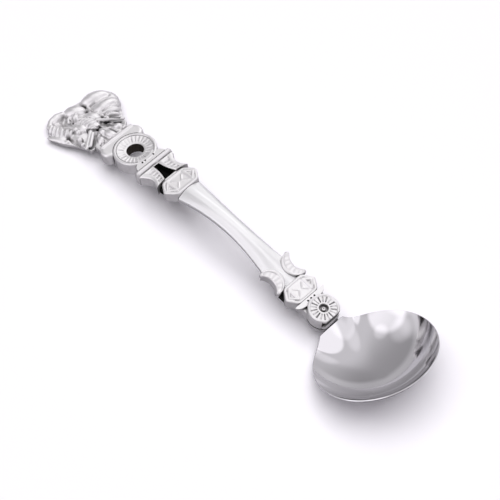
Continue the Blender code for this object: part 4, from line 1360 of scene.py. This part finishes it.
class SPOON_OT_stage(bpy.types.Operator):
    """Lays the white sweep and sets the room, the lamps and the camera"""

    bl_idname = "spoon.stage"
    bl_label = "Set Stage"

    CAMERA_AZIMUTH = math.radians(44.8)
    CAMERA_HEIGHT = math.radians(56.0)
    CAMERA_DISTANCE = 0.5
    CAMERA_TARGET = (0.000262, 0.00534, -0.004536)
    CAMERA_LENS = 149.94
    CAMERA_SENSOR = 36.0
    CAMERA_NEAR = 0.01
    # Lamps: place, size and power
    SOFTBOX = ((0.0, 0.0, 0.8), 0.9, 8.0)
    CARDS = {
        "sheen_card": ((-0.29, 0.31, 0.67), 0.8, 0.9),
        "back_card": ((-0.33, 0.67, 0.27), 0.7, 0.9),
    }
    # Soft boxes, and dark cards below zero: direction, angles of full and of no light, brightness
    GLOWS = (
        ((-0.10, -0.75, 0.65), 24.0, 34.0, 0.42),
        ((-0.15, -0.97, 0.20), 16.0, 30.0, 0.30),
        ((-0.62, -0.75, 0.20), 12.0, 30.0, 0.18),
        ((0.77, 0.07, 0.64), 21.0, 27.0, 0.40),
        ((0.23, 0.69, 0.68), 6.0, 22.0, 0.16),
        ((-0.30, 0.93, 0.19), 20.0, 50.0, -0.08),
        ((0.62, -0.62, 0.48), 15.0, 40.0, -0.28),
        ((-0.65, -0.55, 0.52), 4.0, 20.0, 0.2),
        ((0.62, 0.56, 0.55), 6.0, 16.0, 0.22),
        ((-0.33, -0.37, 0.87), 4.0, 13.0, 0.2),
    )
    # Pale wall low behind the handle: heights and sides between which it fades, brightness
    WALL_HEIGHTS = (0.16, 0.28)
    WALL_SIDES = (-0.35, 0.0)
    WALL_GLOW = 0.16
    # Brightness of the room on the handle's side and on the bowl's, and where it changes
    SHADE_SIDE = 0.31
    LIGHT_SIDE = 0.62
    SHADE_ENDS = (-1.0, 0.1)
    ROOM_TINT = "FDFAFF"
    # Share of the room's light that falls on what is not a mirror
    ROOM_FILL = 0.15
    PAPER_SIZE = 3.0
    # Brightness that the camera adds to the paper near the spoon
    PAPER_LIFT = 0.08
    # Distances from the spoon between which the lit paper passes into plain white
    PAPER_FADE = (0.1, 0.4)
    # Painted reflection: darker tint in which the paper shows in the silver, while the camera sees it
    # white
    MIRRORED_PAPER = "BEBBC1"

    def execute(self, context):
        self.floor(context)
        self.world(context)
        softbox = self.lamp("overhead_softbox", *self.SOFTBOX)
        softbox.visible_glossy = False
        for name, card in self.CARDS.items():
            self.card(name, *card)
        self.camera(context)
        context.scene.view_settings.view_transform = "Standard"
        return {"FINISHED"}

    def floor(self, context):
        """White paper under the soft box, which keeps the spoon's shadow."""
        bm = bmesh.new()
        bmesh.ops.create_grid(bm, x_segments=1, y_segments=1, size=self.PAPER_SIZE)
        sweep = make_object("paper_sweep", bm)
        material, tree = new_material("white_paper")
        colour = (*context.scene.spoon_finish.floor, 1.0)
        path = add(tree, "LightPath").outputs
        # Painted reflection: glossy rays see the paper in the darker mirrored tint
        tints = {"data_type": "RGBA", "A": colour, "B": (*linear(self.MIRRORED_PAPER), 1.0)}
        tint = add(tree, "Mix", tints, {"Factor": path["Is Glossy Ray"]}).outputs["Result"]
        paper = add(tree, "BsdfDiffuse", None, {"Color": tint})
        where = add(tree, "TexCoord").outputs["Object"]
        away = add(tree, "VectorMath", {"operation": "LENGTH"}, {0: where})
        near, far = self.PAPER_FADE
        limits = {"From Min": near, "From Max": far, "To Min": self.PAPER_LIFT, "To Max": 1.0}
        fade = add(tree, "MapRange", limits, {"Value": away.outputs["Value"]})
        links = {"Value": path["Is Camera Ray"], "To Max": fade}
        seen = add(tree, "MapRange", None, links)
        lift = add(tree, "Emission", {"Color": colour}, {"Strength": seen})
        lit = add(tree, "AddShader", None, {0: paper, 1: lift})
        add(tree, "OutputMaterial", None, {"Surface": lit})
        sweep.data.materials.append(material)

    def world(self, context):
        """Room shown in the silver: grey behind the handle, soft boxes in front and at the right."""
        world = bpy.data.worlds.new("studio")
        context.scene.world = world
        world.use_nodes = True
        tree = world.node_tree
        tree.nodes.clear()
        where = add(tree, "TexCoord").outputs["Generated"]
        split = add(tree, "SeparateXYZ", None, {"Vector": where}).outputs
        limits = {
            "interpolation_type": "SMOOTHSTEP",
            "From Min": self.SHADE_ENDS[0],
            "From Max": self.SHADE_ENDS[1],
            "To Min": self.SHADE_SIDE,
            "To Max": self.LIGHT_SIDE,
        }
        room = add(tree, "MapRange", limits, {"Value": split["X"]})
        low, high = self.WALL_HEIGHTS
        limits = {"From Min": low, "From Max": high, "To Min": self.WALL_GLOW, "To Max": 0.0}
        level = add(tree, "MapRange", limits, {"Value": split["Z"]})
        rear, front = self.WALL_SIDES
        limits = {"From Min": rear, "From Max": front, "To Max": 0.0}
        wall = add(tree, "MapRange", limits, {"Value": split["X"], "To Min": level})
        total = add(tree, "Math", {"operation": "ADD"}, {0: room, 1: wall})
        for direction, full, none, strength in self.GLOWS:
            toward = {"operation": "DOT_PRODUCT", 1: Vector(direction).normalized()}
            nearness = add(tree, "VectorMath", toward, {0: where}).outputs["Value"]
            limits = {
                "interpolation_type": "SMOOTHSTEP",
                "From Min": math.cos(math.radians(none)),
                "From Max": math.cos(math.radians(full)),
                "To Max": strength,
            }
            glow = add(tree, "MapRange", limits, {"Value": nearness})
            total = add(tree, "Math", {"operation": "ADD"}, {0: total, 1: glow})
        path = add(tree, "LightPath").outputs
        limits = {"To Min": self.ROOM_FILL, "To Max": 1.0}
        share = add(tree, "MapRange", limits, {"Value": path["Is Glossy Ray"]})
        lit = add(tree, "Math", {"operation": "MULTIPLY"}, {0: total, 1: share})
        # The camera sees the room as plain white
        strength = add(tree, "Mix", {"B": 1.0}, {"Factor": path["Is Camera Ray"], "A": lit})
        tint = {"Color": (*linear(self.ROOM_TINT), 1.0)}
        light = add(tree, "Background", tint, {"Strength": strength})
        add(tree, "OutputWorld", None, {"Surface": light})

    def lamp(self, name, place, size, power):
        """Area lamp that faces the middle of the spoon."""
        data = bpy.data.lights.new(name, "AREA")
        data.size = size
        data.energy = power
        lamp = bpy.data.objects.new(name, data)
        lamp.location = place
        lamp.rotation_euler = (-Vector(place)).to_track_quat("-Z", "Y").to_euler()
        bpy.context.scene.collection.objects.link(lamp)
        return lamp

    def card(self, name, place, size, power):
        """Card that only shows as a sheen, on everything but the mirror of the bowl."""
        card = self.lamp(name, place, size, power)
        card.visible_diffuse = False
        satin = bpy.data.collections.new(name + "_pieces")
        for thing in bpy.context.scene.collection.objects:
            if thing.type == "MESH" and thing.name != BOWL_PIECE:
                satin.objects.link(thing)
        card.light_linking.receiver_collection = satin

    def camera(self, context):
        """Camera at the photographed angle, which tips as the spoon does where it lies."""
        azimuth, height = self.CAMERA_AZIMUTH, self.CAMERA_HEIGHT
        right = Vector((math.cos(azimuth), math.sin(azimuth), 0.0))
        back = Vector(
            (
                math.sin(azimuth) * math.cos(height),
                -math.cos(azimuth) * math.cos(height),
                math.sin(height),
            )
        )
        view = Matrix((right, back.cross(right), back)).transposed()
        view = Matrix.Rotation(-REST_TILT, 3, "Y") @ view
        data = bpy.data.cameras.new("camera")
        data.sensor_width = self.CAMERA_SENSOR
        data.lens = self.CAMERA_LENS
        data.clip_start = self.CAMERA_NEAR
        camera = bpy.data.objects.new("camera", data)
        camera.matrix_world = (
            Matrix.Translation(Vector(self.CAMERA_TARGET) + view.col[2] * self.CAMERA_DISTANCE)
            @ view.to_4x4()
        )
        context.scene.collection.objects.link(camera)
        context.scene.camera = camera


OPERATORS = (
    SPOON_OT_bowl,
    SPOON_OT_stem,
    SPOON_OT_collars,
    SPOON_OT_crescents,
    SPOON_OT_brackets,
    SPOON_OT_cross_roll,
    SPOON_OT_ring,
    SPOON_OT_saddle,
    SPOON_OT_rosette,
    SPOON_OT_perch,
    SPOON_OT_eagle,
    SPOON_OT_stage,
)


class SPOON_PT_panel(bpy.types.Panel):
    """Sizes, tints and steps of the spoon"""

    bl_label = "Sugar Spoon"
    bl_space_type = "VIEW_3D"
    bl_region_type = "UI"
    bl_category = "Spoon"

    def draw(self, context):
        for group in (context.scene.spoon_sizes, context.scene.spoon_finish):
            for name in group.bl_rna.properties.keys():
                if name not in ("rna_type", "name"):
                    self.layout.prop(group, name)
        for operator in OPERATORS:
            self.layout.operator(operator.bl_idname)


CLASSES = (SpoonSizes, SpoonFinish, *OPERATORS, SPOON_PT_panel)


def register():
    for cls in CLASSES:
        bpy.utils.register_class(cls)
    bpy.types.Scene.spoon_sizes = bpy.props.PointerProperty(type=SpoonSizes)
    bpy.types.Scene.spoon_finish = bpy.props.PointerProperty(type=SpoonFinish)


def unregister():
    del bpy.types.Scene.spoon_finish
    del bpy.types.Scene.spoon_sizes
    for cls in reversed(CLASSES):
        bpy.utils.unregister_class(cls)


def main():
    """Makes every piece and the stage in order."""
    register()
    bpy.ops.spoon.bowl()
    bpy.ops.spoon.stem()
    bpy.ops.spoon.collars()
    bpy.ops.spoon.crescents()
    bpy.ops.spoon.brackets()
    bpy.ops.spoon.cross_roll()
    bpy.ops.spoon.ring()
    bpy.ops.spoon.saddle()
    bpy.ops.spoon.rosette()
    bpy.ops.spoon.perch()
    bpy.ops.spoon.eagle()
    bpy.ops.spoon.stage()


if __name__ == "__main__":
    main()
